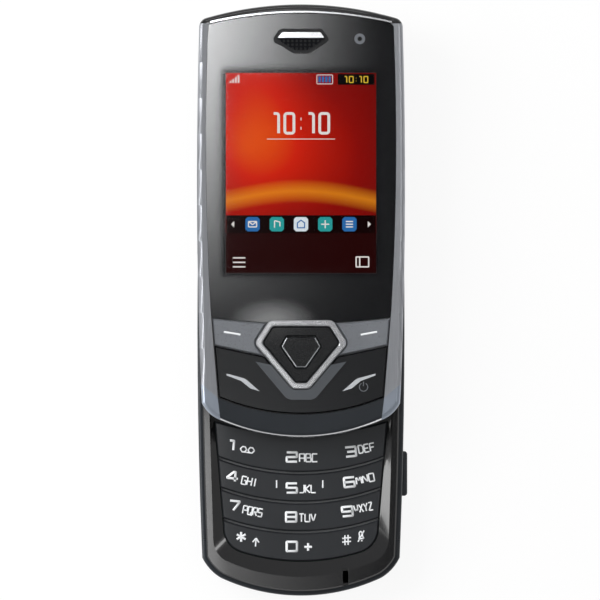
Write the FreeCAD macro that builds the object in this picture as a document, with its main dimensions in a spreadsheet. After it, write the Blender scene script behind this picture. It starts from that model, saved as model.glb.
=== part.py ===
# Slider phone, shown open: the keypad half (base) and the display half (slider) that runs along it.
# Frame: the phone lies on its back on Z = 0, the screen faces +Z, the earpiece end points to +Y.
# The origin lies under the middle of the open phone. All sizes are in millimetres.

import FreeCAD, Part
import Sketcher
import math
import os
import re

Vector = FreeCAD.Vector

SIZES = {
    # Overall
    "body_length": 101.0,        # closed phone, and the base alone
    "slide_travel": 31.25,
    "half_width": 23.2,          # both halves at their widest
    "base_depth": 9.0,
    "slide_gap": 0.2,            # air between the halves
    "seam": 0.05,                # between fixed outer pieces
    "fit": 0.15,                 # round pieces held in pockets
    "key_gap": 0.2,              # round everything that is pressed
    # Shoulders at the top end, alike on both halves
    "shoulder_inset": 0.5,
    "shoulder_drop": 4.9,
    "shoulder_bend_inset": 1,
    "shoulder_bend_drop": 3.7,
    "crown_inset": 2.1,
    "crown_drop": 3.0,
    # Bottom end of the base
    "heel_inset": 1.05,
    "heel_rise": 8.55,
    "heel_bend_inset": 2.8,
    "heel_bend_rise": 5.95,
    "toe_inset": 5.2,
    "toe_rise": 4.0,
    # Bottom end of the slider
    "ledge": 4.4,                # base shown below the closed slider
    "flank_inset": 0.9,
    "flank_rise": 11.5,
    "jaw_inset": 1.1,
    "jaw_rise": 7.7,
    "jaw_bend_inset": 2.6,
    "jaw_bend_rise": 5.6,
    "lip_inset": 5.1,
    "lip_rise": 3.9,
    # Base section
    "cover_split": 2.4,
    "cover_wall": 0.9,
    "cover_side_wall": 1.2,
    "back_round": 2.0,
    "side_top": 7.9,
    "side_round": 0.8,
    "rim_inset": 1.1,
    "rim_round": 0.3,
    "front_housing_low": 6.9,
    "cover_length": 90.0,
    "cover_clearance": 0.25,
    "cap_length": 12.7,
    # Bowl and keypad
    "rim_bottom_width": 4.3,
    "rim_sweep_inset": 6.2,
    "rim_sweep_rise": 8.0,
    "rim_bend_inset": 4.45,
    "rim_bend_rise": 9.7,
    "rim_foot_inset": 3.55,
    "rim_foot_rise": 12.9,
    "rim_head_inset": 2.7,
    "keypad_bottom_rise": 7.75,
    "keypad_sweep_inset": 9.6,
    "keypad_sweep_rise": 9.85,
    "keypad_bend_inset": 6.7,
    "keypad_bend_rise": 12.2,
    "keypad_foot_inset": 5.8,
    "keypad_foot_rise": 15.6,
    "keypad_head_inset": 3.8,
    "keypad_length": 28.6,
    "keypad_head_sag": 2.8,
    "bowl_depth": 1.25,
    "bowl_head_width": 1.6,
    "row_pitch": 6.65,
    "row_sag": 3.75,
    "row_four_height": 6.5,
    "row_gap": 0.4,
    "key_recess": 1.1,
    "key_thickness": 0.95,
    "key_bevel": 0.35,
    "mat_thickness": 0.25,
    "mat_clearance": 0.3,
    # Boards and domes
    "board_low": 5.4,
    "board_thickness": 0.7,
    "board_inset": 2.7,
    "board_top_margin": 6.4,
    "board_bottom_margin": 5.6,
    "dome_sheet_thickness": 0.1,
    "dome_radius": 1.9,
    "dome_height": 0.2,
    "key_column_pitch": 12.6,
    # Battery and what lies under the cover
    "battery_width": 34.0,
    "battery_length": 44.0,
    "battery_thickness": 3.7,
    "battery_low": 1.15,
    "battery_top": 18.0,
    "battery_round": 1.0,
    "bay_clearance": 0.3,
    "contact_width": 8.0,
    "contact_length": 3.0,
    "contact_thickness": 1.6,
    "sim_width": 15.0,
    "sim_length": 12.5,
    "sim_thickness": 1.2,
    "sim_bottom": -45.2,
    "sim_centre": -8.0,
    "motor_radius": 1.9,
    "motor_length": 9.0,
    "motor_side": 9.5,
    "motor_height": 38.0,
    "weight_length": 3.0,
    # Camera, loudspeaker and socket at the top end of the base
    "camera_side": 11.0,
    "camera_drop": 6.2,
    "camera_ring_radius": 4.0,
    "camera_ring_wall": 0.7,
    "camera_window_thickness": 0.6,
    "camera_module_width": 8.0,
    "camera_module_thickness": 3.4,
    "speaker_side": 11.5,
    "speaker_width": 11.0,
    "speaker_length": 7.0,
    "speaker_thickness": 2.6,
    "speaker_slot_width": 0.7,
    "speaker_slot_length": 6.0,
    "speaker_slot_pitch": 1.8,
    "back_wall": 1.2,
    "socket_width": 7.6,
    "socket_height": 2.6,
    "socket_length": 5.2,
    "socket_wall": 0.3,
    "socket_low": 2.9,
    # Microphone
    "mic_side": 10.0,
    "mic_slot_width": 1.35,
    "mic_slot_length": 3.8,
    "mic_slot_depth": 1.2,
    "mic_radius": 2.0,
    "mic_thickness": 0.7,
    # Side keys
    "side_key_low": 3.0,
    "side_key_height": 2.0,
    "side_key_round": 0.7,
    "side_key_depth": 2.6,
    "side_key_travel": 0.3,
    "camera_key_length": 10.0,
    "camera_key_centre": -38.8,
    "camera_key_reach": 23.9,
    "volume_key_length": 15.0,
    "volume_key_centre": 17.5,
    "volume_key_reach": 23.3,
    "switch_thickness": 0.8,
    "switch_length": 3.0,
    # Slide plates, springs and flex cable
    "plate_inset": 6.1,
    "plate_length": 52.0,
    "plate_margin": 5.3,
    "plate_thickness": 0.6,
    "plate_window_inset": 10.2,
    "plate_bar": 4.0,
    "plate_corner": 1.5,
    "runner_thickness": 0.5,
    "runner_air": 0.05,
    "runner_length": 47.0,
    "hook_length": 20.0,
    "hook_side_gap": 0.35,
    "hook_under_gap": 0.3,
    "hook_wall": 0.55,
    "hook_lip": 1.5,
    "channel_gap": 0.4,
    "spring_wire_radius": 0.3,
    "spring_loop_radius": 3.4,
    "spring_leg": 9.0,
    "spring_room_depth": 1.5,
    "flex_width": 7.0,
    "flex_thickness": 0.15,
    # Shield cans on the main board
    "shield_low": -24.0,
    "shield_split": -5.0,
    "shield_high": 16.0,
    "shield_gap": 2.0,
    # Screws
    "slider_screw_sink": 0.2,
    "slider_screw_bite": 1.5,
    "slider_screw_roof": 0.3,
    "screw_radius": 0.7,
    "screw_head_radius": 1.3,
    "screw_head_height": 0.8,
    "base_screw_inset": 3.9,
    "base_screw_upper": 7.5,
    "base_screw_lower": -49.0,
    "slider_screw_inset": 7.2,
    "slider_screw_upper_drop": 8.5,
    "slider_screw_lower_rise": 7.8,
    "plate_screw_inset": 8.4,
    "plate_screw_margin": 2.2,
    # Slider section
    "slider_floor": 1.0,
    "floor_edge": 0.35,
    "face_rise": 4.9,            # window's front over the slider floor
    "rail_top_rise": 5.0,
    "rail_round": 1.1,
    "window_thickness": 0.9,
    "mask_thickness": 0.1,
    "film_gap": 0.02,            # adhesive between the film and the window
    "frame_web": 0.6,
    # Face outline between the rails
    "face_foot_inset": 4.65,
    "face_foot_rise": 8.9,
    "face_bottom_rise": 5.1,
    "face_hip_inset": 3.05,
    "face_hip_rise": 28.5,
    "face_waist_inset": 2,
    "face_waist_rise": 58.5,
    "face_head_inset": 2.5,
    "face_head_drop": 4.85,
    "face_corner_inset": 3,
    "face_corner_drop": 4.35,
    "face_top_drop": 2.05,
    "rail_top_drop": 4.3,
    "trim_gap": 0.2,
    "trim_width": 0.55,
    "trim_rise": 0.12,
    "trim_seat": 0.6,
    "chin_cut_half": 25.0,
    "chin_cut_rise": 14.3,
    "strip_foot_inset": 5.25,
    "chin_line_width": 0.5,
    "chin_line_height": 0.8,
    # Window bottom and function keys
    "window_side_rise": 26.95,
    "window_middle_rise": 25.5,
    "soft_side_rise": 21.6,
    "soft_middle_rise": 16.5,
    "zone_half": 24.0,
    "function_rise": 4.8,        # key tops over the slider floor
    "function_thickness": 1.0,
    "function_bevel": 0.3,
    "plate_drop": 0.1,
    "band_width": 2.4,
    "band_height": 0.22,
    "ring_top_rise": 26.2,
    "ring_top_half": 7.1,
    "ring_side_rise": 21.0,
    "ring_side_half": 10.4,
    "ring_bottom_rise": 10.85,
    "ring_bottom_half": 1.9,
    "ring_corner": 1.6,
    "ring_width": 1.3,
    "ring_proud": 0.35,
    "ring_bevel": 0.3,
    "rocker_bevel": 0.25,
    "centre_top_rise": 22.4,
    "centre_top_half": 3.1,
    "centre_side_rise": 20.3,
    "centre_side_half": 4.25,
    "centre_bottom_rise": 15.7,
    "centre_bottom_half": 1.0,
    "centre_proud": 0.1,
    "pivot_clearance": 0.25,
    "pivot_gap": 0.5,
    "pivot_thickness": 0.2,
    "pad_thickness": 0.4,
    "pad_clearance": 0.5,
    "rocker_lift": 0.3,
    "plunger_radius": 1.2,
    "plunger_gap": 0.5,
    "function_web": 0.6,
    "function_board_rise": 0.7,
    "function_board_thickness": 0.5,
    "function_board_inset": 6.6,
    "function_board_length": 14.5,
    "soft_dome_side": 14.5,
    "call_dome_rise": 14.6,
    "nav_dome_reach": 6.6,
    # Display
    "screen_width": 33.5,
    "screen_height": 44.6,
    "screen_top_drop": 15.3,
    "screen_thickness": 0.2,
    "screen_border": 0.15,
    "module_side": 2.6,
    "module_top": 3.0,
    "module_bottom": 4.6,
    "module_thickness": 2.2,
    # Earpiece and front camera
    "ear_top_drop": 5.45,
    "ear_top_half": 4.6,
    "ear_side_drop": 8.0,
    "ear_side_half": 6.6,
    "ear_bottom_drop": 11.0,
    "ear_bottom_half": 1.7,
    "ear_corner": 0.9,
    "ear_border": 0.8,          # dark recess round the blade and the mesh
    "ear_inner_corner": 0.5,
    "blade_drop": 7.5,
    "blade_rise": 0.12,
    "grille_thickness": 0.4,
    "grille_hole_radius": 0.28,
    "grille_hole_pitch": 0.95,
    "receiver_width": 12.0,
    "receiver_length": 6.0,
    "receiver_thickness": 2.2,
    "eye_side": 13.1,
    "eye_drop": 7.7,
    "eye_radius": 1.2,
    "eye_body_width": 5.0,
    "eye_body_thickness": 2.4,
}

doc = FreeCAD.newDocument("slider_phone")
sheet = doc.addObject("Spreadsheet::Sheet", "Sizes")
for row, (alias, number) in enumerate(SIZES.items(), start=1):
    sheet.set(f"A{row}", alias)
    sheet.set(f"B{row}", str(number))
    sheet.setAlias(f"B{row}", alias)
doc.recompute()

pieces = {}


# Expressions: a plain size name stands for its cell

def linked(expression):
    return re.sub(r"[a-z][a-z_]+", lambda word: "Sizes." + word.group(), str(expression))


def value(expression):
    return float(sheet.evalExpression(linked(expression)))


def bind(feature, field, expression):
    feature.setExpression(field, linked(expression))


def negative(expression):
    return f"-({expression})"


def inward(inset):
    """Distance from the middle plane of a point that lies so far inside the widest line."""
    return f"(half_width - {inset})"


BASE_BOTTOM = "(-(body_length + slide_travel) / 2)"
BASE_TOP = "((body_length - slide_travel) / 2)"
SLIDER_TOP = "((body_length + slide_travel) / 2)"
SLIDER_BOTTOM = "((slide_travel - body_length) / 2 + ledge)"
DECK = "base_depth"
SLIDER_LOW = "(base_depth + slide_gap)"
FLOOR_TOP = "(base_depth + slide_gap + slider_floor)"
FACE_TOP = f"({FLOOR_TOP} + face_rise)"
RAIL_TOP = f"({FLOOR_TOP} + rail_top_rise)"
WINDOW_LOW = f"({FACE_TOP} - window_thickness)"
FRAME_TOP = f"({WINDOW_LOW} - mask_thickness)"
WEB_LOW = f"({FRAME_TOP} - frame_web)"
FUNCTION_TOP = f"({FLOOR_TOP} + function_rise)"
FUNCTION_LOW = f"({FUNCTION_TOP} - function_thickness)"
PAD_TOP = f"({FUNCTION_LOW} - pad_clearance)"
PAD_LOW = f"({PAD_TOP} - pad_thickness)"
BOARD_TOP = "(board_low + board_thickness)"
SIDE_REACH = "(half_width + 5)"
END_REACH = "(body_length)"


# Sketches: a path is a start, then lines and arcs through a middle point

def mirrored(step):
    turned = [step[0]]
    for place in range(1, len(step), 2):
        turned += [negative(step[place]), step[place + 1]]
    return tuple(turned)


def symmetric(chain, bottom_middle=None, top_middle=None):
    """Closes a right-hand chain, from bottom to top, with its mirror image about the Y axis."""
    path = list(chain)
    left_top = mirrored(("at",) + chain[-1][-2:])[1:]
    path.append(("arc", "0", top_middle) + left_top if top_middle else ("line",) + left_top)
    for step, before in zip(reversed(chain[1:]), reversed(chain[:-1])):
        target = mirrored(("at",) + before[-2:])[1:]
        through = mirrored(step[:3])[1:] if step[0] == "arc" else ()
        path.append((step[0],) + through + target)
    start = chain[0][-2:]
    path.append(("arc", "0", bottom_middle) + start if bottom_middle else ("line",) + start)
    return path


def point(pair):
    return Vector(value(pair[0]), value(pair[1]), 0)


def place_point(constraints, bound, geometry, end, pair):
    """Ties one point of a sketch to the expressions of its X and Y."""
    axes = (("DistanceX", -2, pair[0]), ("DistanceY", -1, pair[1]))
    for kind, axis, expression in axes:
        if str(expression) == "0":
            constraints.append(Sketcher.Constraint("PointOnObject", geometry, end, axis))
        else:
            bound.append((len(constraints), expression))
            constraints.append(Sketcher.Constraint(kind, -1, 1, geometry, end, value(expression)))


def sketch(name, path, owner=None):
    """A closed, fully constrained outline in the XY plane, its corners bound to the sheet."""
    maker = owner.newObject if owner else doc.addObject
    outline = maker("Sketcher::SketchObject", name)
    constraints = []
    bound = []
    ends = []
    corner = path[0][-2:]
    for step in path[1:]:
        start, finish = point(corner), point(step[-2:])
        if step[0] == "line":
            segment = Part.LineSegment(start, finish)
        else:
            segment = Part.Arc(start, point(step[1:3]), finish)
        index = outline.addGeometry(segment, False)
        first = outline.getPoint(index, 1)
        begins = 1 if first.distanceToPoint(start) < first.distanceToPoint(finish) else 2
        ends.append((index, begins, 3 - begins))
        place_point(constraints, bound, index, 3 - begins, step[-2:])
        if step[0] == "arc":
            middle = outline.addGeometry(Part.Point(point(step[1:3])), True)
            place_point(constraints, bound, middle, 1, step[1:3])
            constraints.append(Sketcher.Constraint("PointOnObject", middle, 1, index))
        corner = step[-2:]
    for number, (index, begins, _) in enumerate(ends):
        before, _, finishes = ends[number - 1]
        constraints.append(Sketcher.Constraint("Coincident", before, finishes, index, begins))
    outline.addConstraint(constraints)
    for number, expression in bound:
        bind(outline, f"Constraints[{number}]", expression)
    return outline


def offset(name, outline, distance):
    """The outline moved outwards by distance, or inwards where it is negative."""
    ring = doc.addObject("Part::Offset2D", name)
    ring.Source = outline
    bind(ring, "Value", distance)
    return ring


# Solids

def slab(name, outline, low, high):
    solid = doc.addObject("Part::Extrusion", name)
    solid.Base = outline
    solid.DirMode = "Custom"
    solid.Dir = Vector(0, 0, 1)
    solid.Solid = True
    bind(solid, "LengthFwd", high)
    bind(solid, "LengthRev", negative(low))
    return solid


def block(name, x, y, z):
    """A box between the two expressions given for each axis."""
    solid = doc.addObject("Part::Box", name)
    for side, place, (low, high) in (("Length", "x", x), ("Width", "y", y), ("Height", "z", z)):
        bind(solid, side, f"({high}) - ({low})")
        bind(solid, f"Placement.Base.{place}", low)
    return solid


def rod(name, x, y, z, radius):
    solid = doc.addObject("Part::Cylinder", name)
    bind(solid, "Radius", radius)
    bind(solid, "Height", f"({z[1]}) - ({z[0]})")
    bind(solid, "Placement.Base.x", x)
    bind(solid, "Placement.Base.y", y)
    bind(solid, "Placement.Base.z", z[0])
    return solid


def cut(name, base, *tools):
    tool = tools[0] if len(tools) == 1 else fuse(name + "_tools", *tools)
    result = doc.addObject("Part::Cut", name)
    result.Base = base
    result.Tool = tool
    return result


def fuse(name, *solids):
    result = doc.addObject("Part::MultiFuse", name)
    result.Shapes = list(solids)
    return result


def common(name, *solids):
    result = doc.addObject("Part::MultiCommon", name)
    result.Shapes = list(solids)
    return result


def group(name, *solids):
    result = doc.addObject("Part::Compound", name)
    result.Links = list(solids)
    return result


def softened(kind, name, base, size, wanted):
    """A Part::Fillet or Part::Chamfer on those edges of the base that wanted() picks."""
    doc.recompute()
    result = doc.addObject(kind, name)
    result.Base = base
    amount = value(size)
    edges = base.Shape.Edges
    result.Edges = [(number, amount, amount) for number, edge in enumerate(edges, start=1) if wanted(edge)]
    return result


def level(height):
    """Picks the edges that lie flat at one height."""
    target = value(height)
    return lambda edge: abs(edge.BoundBox.ZMin - target) < 1e-4 and abs(edge.BoundBox.ZMax - target) < 1e-4


def upright(edge):
    return edge.BoundBox.ZLength > 1e-3 and edge.BoundBox.XLength + edge.BoundBox.YLength < 1e-3


def keep(node, solid):
    solid.Label = node
    pieces[node] = solid
    return solid


def both_sides(x):
    return (x, negative(x))


# Outlines

base_outline = sketch("base_outline", symmetric(
    [("start", inward("toe_inset"), f"{BASE_BOTTOM} + toe_rise"),
     ("arc", inward("heel_bend_inset"), f"{BASE_BOTTOM} + heel_bend_rise", inward("heel_inset"), f"{BASE_BOTTOM} + heel_rise"),
     ("arc", "half_width", f"({BASE_BOTTOM} + {BASE_TOP}) / 2", inward("shoulder_inset"), f"{BASE_TOP} - shoulder_drop"),
     ("arc", inward("shoulder_bend_inset"), f"{BASE_TOP} - shoulder_bend_drop", inward("crown_inset"), f"{BASE_TOP} - crown_drop")],
    BASE_BOTTOM, BASE_TOP))

slider_outline = sketch("slider_outline", symmetric(
    [("start", inward("lip_inset"), f"{SLIDER_BOTTOM} + lip_rise"),
     ("arc", inward("jaw_bend_inset"), f"{SLIDER_BOTTOM} + jaw_bend_rise", inward("jaw_inset"), f"{SLIDER_BOTTOM} + jaw_rise"),
     ("line", inward("flank_inset"), f"{SLIDER_BOTTOM} + flank_rise"),
     ("arc", "half_width", f"({SLIDER_BOTTOM} + {SLIDER_TOP}) / 2 + 4", inward("shoulder_inset"),
      f"{SLIDER_TOP} - shoulder_drop"),
     ("arc", inward("shoulder_bend_inset"), f"{SLIDER_TOP} - shoulder_bend_drop", inward("crown_inset"),
      f"{SLIDER_TOP} - crown_drop")],
    SLIDER_BOTTOM, SLIDER_TOP))

face_outline = sketch("face_outline", symmetric(
    [("start", inward("face_foot_inset"), f"{SLIDER_BOTTOM} + face_foot_rise"),
     ("line", inward("face_hip_inset"), f"{SLIDER_BOTTOM} + face_hip_rise"),
     ("arc", inward("face_waist_inset"), f"{SLIDER_BOTTOM} + face_waist_rise", inward("face_head_inset"),
      f"{SLIDER_TOP} - face_head_drop"),
     ("line", inward("face_corner_inset"), f"{SLIDER_TOP} - face_corner_drop")],
    f"{SLIDER_BOTTOM} + face_bottom_rise", f"{SLIDER_TOP} - face_top_drop"))

KEYPAD_TOP = f"({BASE_BOTTOM} + keypad_bottom_rise + keypad_length + keypad_head_sag)"
keypad_outline = sketch("keypad_outline", symmetric(
    [("start", inward("keypad_sweep_inset"), f"{BASE_BOTTOM} + keypad_sweep_rise"),
     ("arc", inward("keypad_bend_inset"), f"{BASE_BOTTOM} + keypad_bend_rise", inward("keypad_foot_inset"),
      f"{BASE_BOTTOM} + keypad_foot_rise"),
     ("line", inward("keypad_head_inset"), KEYPAD_TOP)],
    f"{BASE_BOTTOM} + keypad_bottom_rise", f"{KEYPAD_TOP} - keypad_head_sag"))

rim_inner = sketch("rim_inner", symmetric(
    [("start", inward("rim_sweep_inset"), f"{BASE_BOTTOM} + rim_sweep_rise"),
     ("arc", inward("rim_bend_inset"), f"{BASE_BOTTOM} + rim_bend_rise", inward("rim_foot_inset"),
      f"{BASE_BOTTOM} + rim_foot_rise"),
     ("line", inward("rim_head_inset"), f"{KEYPAD_TOP} + bowl_head_width")],
    f"{BASE_BOTTOM} + rim_bottom_width", f"{KEYPAD_TOP} + bowl_head_width - keypad_head_sag"))

rim_outer = offset("rim_outer", base_outline, "-rim_inset")
board_outline = offset("board_outline", base_outline, "-board_inset")
cover_inner = offset("cover_inner", base_outline, "-cover_side_wall")

print("outlines")

# Base: the block that its outer shells are cut from

base_slab = slab("base_slab", base_outline, "0", "side_top")
base_low_round = softened("Part::Fillet", "base_low_round", base_slab, "back_round", level("0"))
base_block = softened("Part::Fillet", "base_block", base_low_round, "side_round", level("side_top"))

COVER_TOP = f"({BASE_BOTTOM} + cover_length)"
CAP_TOP = f"({BASE_BOTTOM} + cap_length)"
ALL_X = (negative(SIDE_REACH), SIDE_REACH)

cover_room = block("cover_room", ALL_X, (negative(END_REACH), f"{COVER_TOP} + cover_clearance"),
                   ("-1", "cover_split"))
cap_room = block("cap_room", ALL_X, (negative(END_REACH), CAP_TOP), ("-1", "side_top + 1"))
front_seat = slab("front_seat", rim_outer, "front_housing_low", "side_top + 1")
BOARD_Y = (f"{BASE_BOTTOM} + board_bottom_margin", f"{BASE_TOP} - board_top_margin")
tray_limit = block("tray_limit", ALL_X, (f"{BOARD_Y[0]} - bay_clearance", f"{BOARD_Y[1]} + bay_clearance"),
                   ("board_low", "front_housing_low"))
tray_outline = offset("tray_outline", base_outline, "fit - board_inset")
board_tray = common("board_tray", slab("tray_slab", tray_outline, "board_low", "front_housing_low"), tray_limit)

BATTERY_Y = ("battery_top - battery_length", "battery_top")
battery_bay = block("battery_bay", ("-battery_width / 2 - bay_clearance", "battery_width / 2 + bay_clearance"),
                    (f"{BATTERY_Y[0]} - bay_clearance", f"{BATTERY_Y[1]} + bay_clearance"),
                    ("-1", "battery_low + battery_thickness + fit"))
CONTACT_Y = (f"{BATTERY_Y[0]} - bay_clearance - contact_length", f"{BATTERY_Y[0]} - bay_clearance")
CONTACT_Z = ("board_low - fit - contact_thickness", "board_low")
contact_room = block("contact_room", ("-contact_width / 2 - fit", "contact_width / 2 + fit"),
                     (f"{CONTACT_Y[0]} - fit", CONTACT_Y[1]), ("-1", "board_low + 0.01"))
SIM_X = ("sim_centre - sim_width / 2", "sim_centre + sim_width / 2")
SIM_Y = ("sim_bottom", "sim_bottom + sim_length")
SIM_ROOF = "(board_low - 0.4)"
sim_room = block("sim_room", (f"{SIM_X[0]} - bay_clearance", f"{SIM_X[1]} + bay_clearance"),
                 (f"{SIM_Y[0]} - bay_clearance", f"{SIM_Y[1]} + bay_clearance"), ("-1", SIM_ROOF))
MOTOR_Y = f"({BASE_BOTTOM} + motor_height - motor_length - weight_length)"
motor_room = block("motor_room", ("motor_side - motor_radius - fit", "motor_side + motor_radius + fit"),
                   (f"{MOTOR_Y} - weight_length - bay_clearance - 0.6", f"{MOTOR_Y} + motor_length"),
                   ("-1", SIM_ROOF))

CAMERA_Y = f"({BASE_TOP} - camera_drop)"
CAMERA_RING_Z = ("0.15", "back_wall + 0.4")
camera_bore = rod("camera_bore", "camera_side", CAMERA_Y, ("-1", "back_wall + 0.4"), "camera_ring_radius")
CAMERA_MODULE_Z = ("back_wall + 0.4", "back_wall + 0.4 + camera_module_thickness")
camera_room = block("camera_room",
                    ("camera_side - camera_module_width / 2 - fit", "camera_side + camera_module_width / 2 + fit"),
                    (f"{CAMERA_Y} - camera_module_width / 2 - fit", f"{CAMERA_Y} + camera_module_width / 2 + fit"),
                    ("back_wall + 0.4", "front_housing_low + 0.01"))
SPEAKER_X = ("-speaker_side - speaker_width / 2", "-speaker_side + speaker_width / 2")
SPEAKER_Y = (f"{CAMERA_Y} - speaker_length / 2", f"{CAMERA_Y} + speaker_length / 2")
speaker_room = block("speaker_room", (f"{SPEAKER_X[0]} - fit", f"{SPEAKER_X[1]} + fit"),
                     (f"{SPEAKER_Y[0]} - fit", f"{SPEAKER_Y[1]} + fit"), ("back_wall", "front_housing_low + 0.01"))
speaker_slots = []
for number in (-1, 0, 1):
    middle = f"({CAMERA_Y} + {number} * speaker_slot_pitch)"
    speaker_slots.append(block(
        f"speaker_slot_{number + 2}",
        ("-speaker_side - speaker_slot_length / 2", "-speaker_side + speaker_slot_length / 2"),
        (f"{middle} - speaker_slot_width / 2", f"{middle} + speaker_slot_width / 2"), ("-1", "back_wall + 1")))
SOCKET_X = ("-socket_width / 2", "socket_width / 2")
SOCKET_Y = (f"{BASE_TOP} - 0.3 - socket_length", f"{BASE_TOP} - 0.3")
SOCKET_Z = ("socket_low", "socket_low + socket_height")
socket_room = block("socket_room", (f"{SOCKET_X[0]} - fit", f"{SOCKET_X[1]} + fit"),
                    (f"{SOCKET_Y[0]} - fit", f"{BASE_TOP} + 1"), (f"{SOCKET_Z[0]} - fit", f"{SOCKET_Z[1]} + fit"))


def side_key_room(name, side, reach, middle, length):
    """The pocket in a side wall, and the smaller one behind it for the switch."""
    depth = "(side_key_depth + side_key_travel)"
    outer = [f"{reach} - {depth}", f"{reach} + 1"]
    inner = [f"{reach} - {depth} - switch_thickness", f"{reach} - {depth} + 0.01"]
    if side < 0:
        outer = [negative(outer[1]), negative(outer[0])]
        inner = [negative(inner[1]), negative(inner[0])]
    heights = ("side_key_low - key_gap", "side_key_low + side_key_height + key_gap")
    mouth = block(name + "_mouth", outer,
                  (f"{middle} - {length} / 2 - key_gap", f"{middle} + {length} / 2 + key_gap"), heights)
    nest = block(name + "_nest", inner,
                 (f"{middle} - switch_length / 2", f"{middle} + switch_length / 2"),
                 ("side_key_low", "side_key_low + side_key_height"))
    return fuse(name, mouth, nest)


camera_key_room = side_key_room("camera_key_room", 1, "camera_key_reach", "camera_key_centre",
                                "camera_key_length")
volume_key_room = side_key_room("volume_key_room", -1, "volume_key_reach", "volume_key_centre",
                                "volume_key_length")

SCREW_SPOTS = [(x, y) for y in ("base_screw_upper", "base_screw_lower") for x in both_sides(inward("base_screw_inset"))]


def base_screw(name, x, y, extra=""):
    shaft = rod(name + "_shaft", x, y, ("cover_split", f"front_housing_low + screw_head_height{extra}"),
                "screw_radius")
    head = rod(name + "_head", x, y, ("cover_split", "cover_split + screw_head_height"), "screw_head_radius")
    return fuse(name, shaft, head)


base_screws = [base_screw(f"base_screw_{number}", x, y) for number, (x, y) in enumerate(SCREW_SPOTS, start=1)]
keep("base_screws", group("base_screw_set", *base_screws))

rear_cuts = [cover_room, cap_room, front_seat, board_tray, battery_bay, contact_room, sim_room, motor_room,
             camera_bore, camera_room, speaker_room, socket_room, camera_key_room, volume_key_room]
keep("base_rear_housing", cut("rear_housing", base_block, *rear_cuts, *speaker_slots, *base_screws))

cap_zone = block("cap_zone", ALL_X, (negative(END_REACH), f"{CAP_TOP} - seam"), ("cover_split", "side_top + 1"))
keep("bottom_cap", cut("bottom_cap_shell", common("bottom_cap_block", base_block, cap_zone), front_seat, board_tray))

cover_zone = block("cover_zone", ALL_X, (negative(END_REACH), COVER_TOP), ("-1", "cover_split - seam"))
cover_hollow = slab("cover_hollow", cover_inner, "cover_wall", "cover_split + 1")
cover_hollow_zone = block("cover_hollow_zone", ALL_X, (negative(END_REACH), f"{COVER_TOP} - cover_side_wall"),
                          ("cover_wall", "cover_split + 1"))
keep("battery_cover", cut("battery_cover_shell", common("battery_cover_block", base_block, cover_zone),
                          common("cover_pocket", cover_hollow, cover_hollow_zone)))

print("base shells")

# Base front housing: flat rim, sloped bowl, and the deck that carries the fixed slide plate

def lofted(name, low_outline, low, high_outline, high):
    """A ruled loft between two outlines that have the same number of edges."""
    doc.recompute()
    wires = []
    for outline, height in ((low_outline, low), (high_outline, high)):
        wire = outline.Shape.Wires[0].copy()
        wire.translate(Vector(0, 0, value(height)))
        wires.append(wire)
    result = doc.addObject("Part::Feature", name)
    result.Shape = Part.makeLoft(wires, True, True)
    return result


rim_slab = slab("rim_slab", rim_outer, "front_housing_low", f"{DECK} - rim_round")
rim_top = offset("rim_top", base_outline, "-rim_inset - rim_round")
front_block = fuse("front_block", rim_slab, lofted("rim_bevel", rim_outer, f"{DECK} - rim_round", rim_top, DECK))
bowl_low_outline = offset("bowl_low_outline", keypad_outline, "key_gap")
BOWL_LOW = f"({DECK} - bowl_depth)"


bowl = lofted("bowl", keypad_outline, BOWL_LOW, rim_inner, DECK)
keypad_hole = slab("keypad_hole", bowl_low_outline, "front_housing_low - 1", f"{BOWL_LOW} + 0.05")

PLATE_TOP_END = f"({BASE_TOP} - plate_margin)"
PLATE_Y = (f"{PLATE_TOP_END} - plate_length", PLATE_TOP_END)
PLATE_LOW = f"({DECK} - plate_thickness)"
HOOK_HIGH = f"({PLATE_LOW} - hook_under_gap)"
HOOK_LOW = f"({HOOK_HIGH} - runner_thickness)"
plate_recess = block("plate_recess", ("-(half_width - plate_inset) - fit", "(half_width - plate_inset) + fit"),
                     (f"{PLATE_Y[0]} - fit", f"{PLATE_Y[1]} + fit"), (PLATE_LOW, f"{DECK} + 1"))
CHANNEL_OUT = "((half_width - plate_inset) + hook_side_gap + hook_wall + channel_gap)"
CHANNEL_IN = "((half_width - plate_inset) + hook_side_gap + hook_wall - hook_lip - hook_wall - channel_gap)"
channels = []
for side, (low, high) in (("right", (CHANNEL_IN, CHANNEL_OUT)),
                          ("left", (negative(CHANNEL_OUT), negative(CHANNEL_IN)))):
    channels.append(block(f"channel_{side}", (low, high), (f"{PLATE_Y[0]} - 0.5", f"{PLATE_Y[1]} + 0.5"),
                          (f"{HOOK_LOW} - hook_under_gap", f"{DECK} + 1")))
spring_room = block("spring_room", (negative(inward("plate_window_inset")), inward("plate_window_inset")),
                    (f"{PLATE_Y[0]} + plate_bar", f"{PLATE_Y[1]} - plate_bar"),
                    (f"{DECK} - spring_room_depth", f"{DECK} + 1"))

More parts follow.
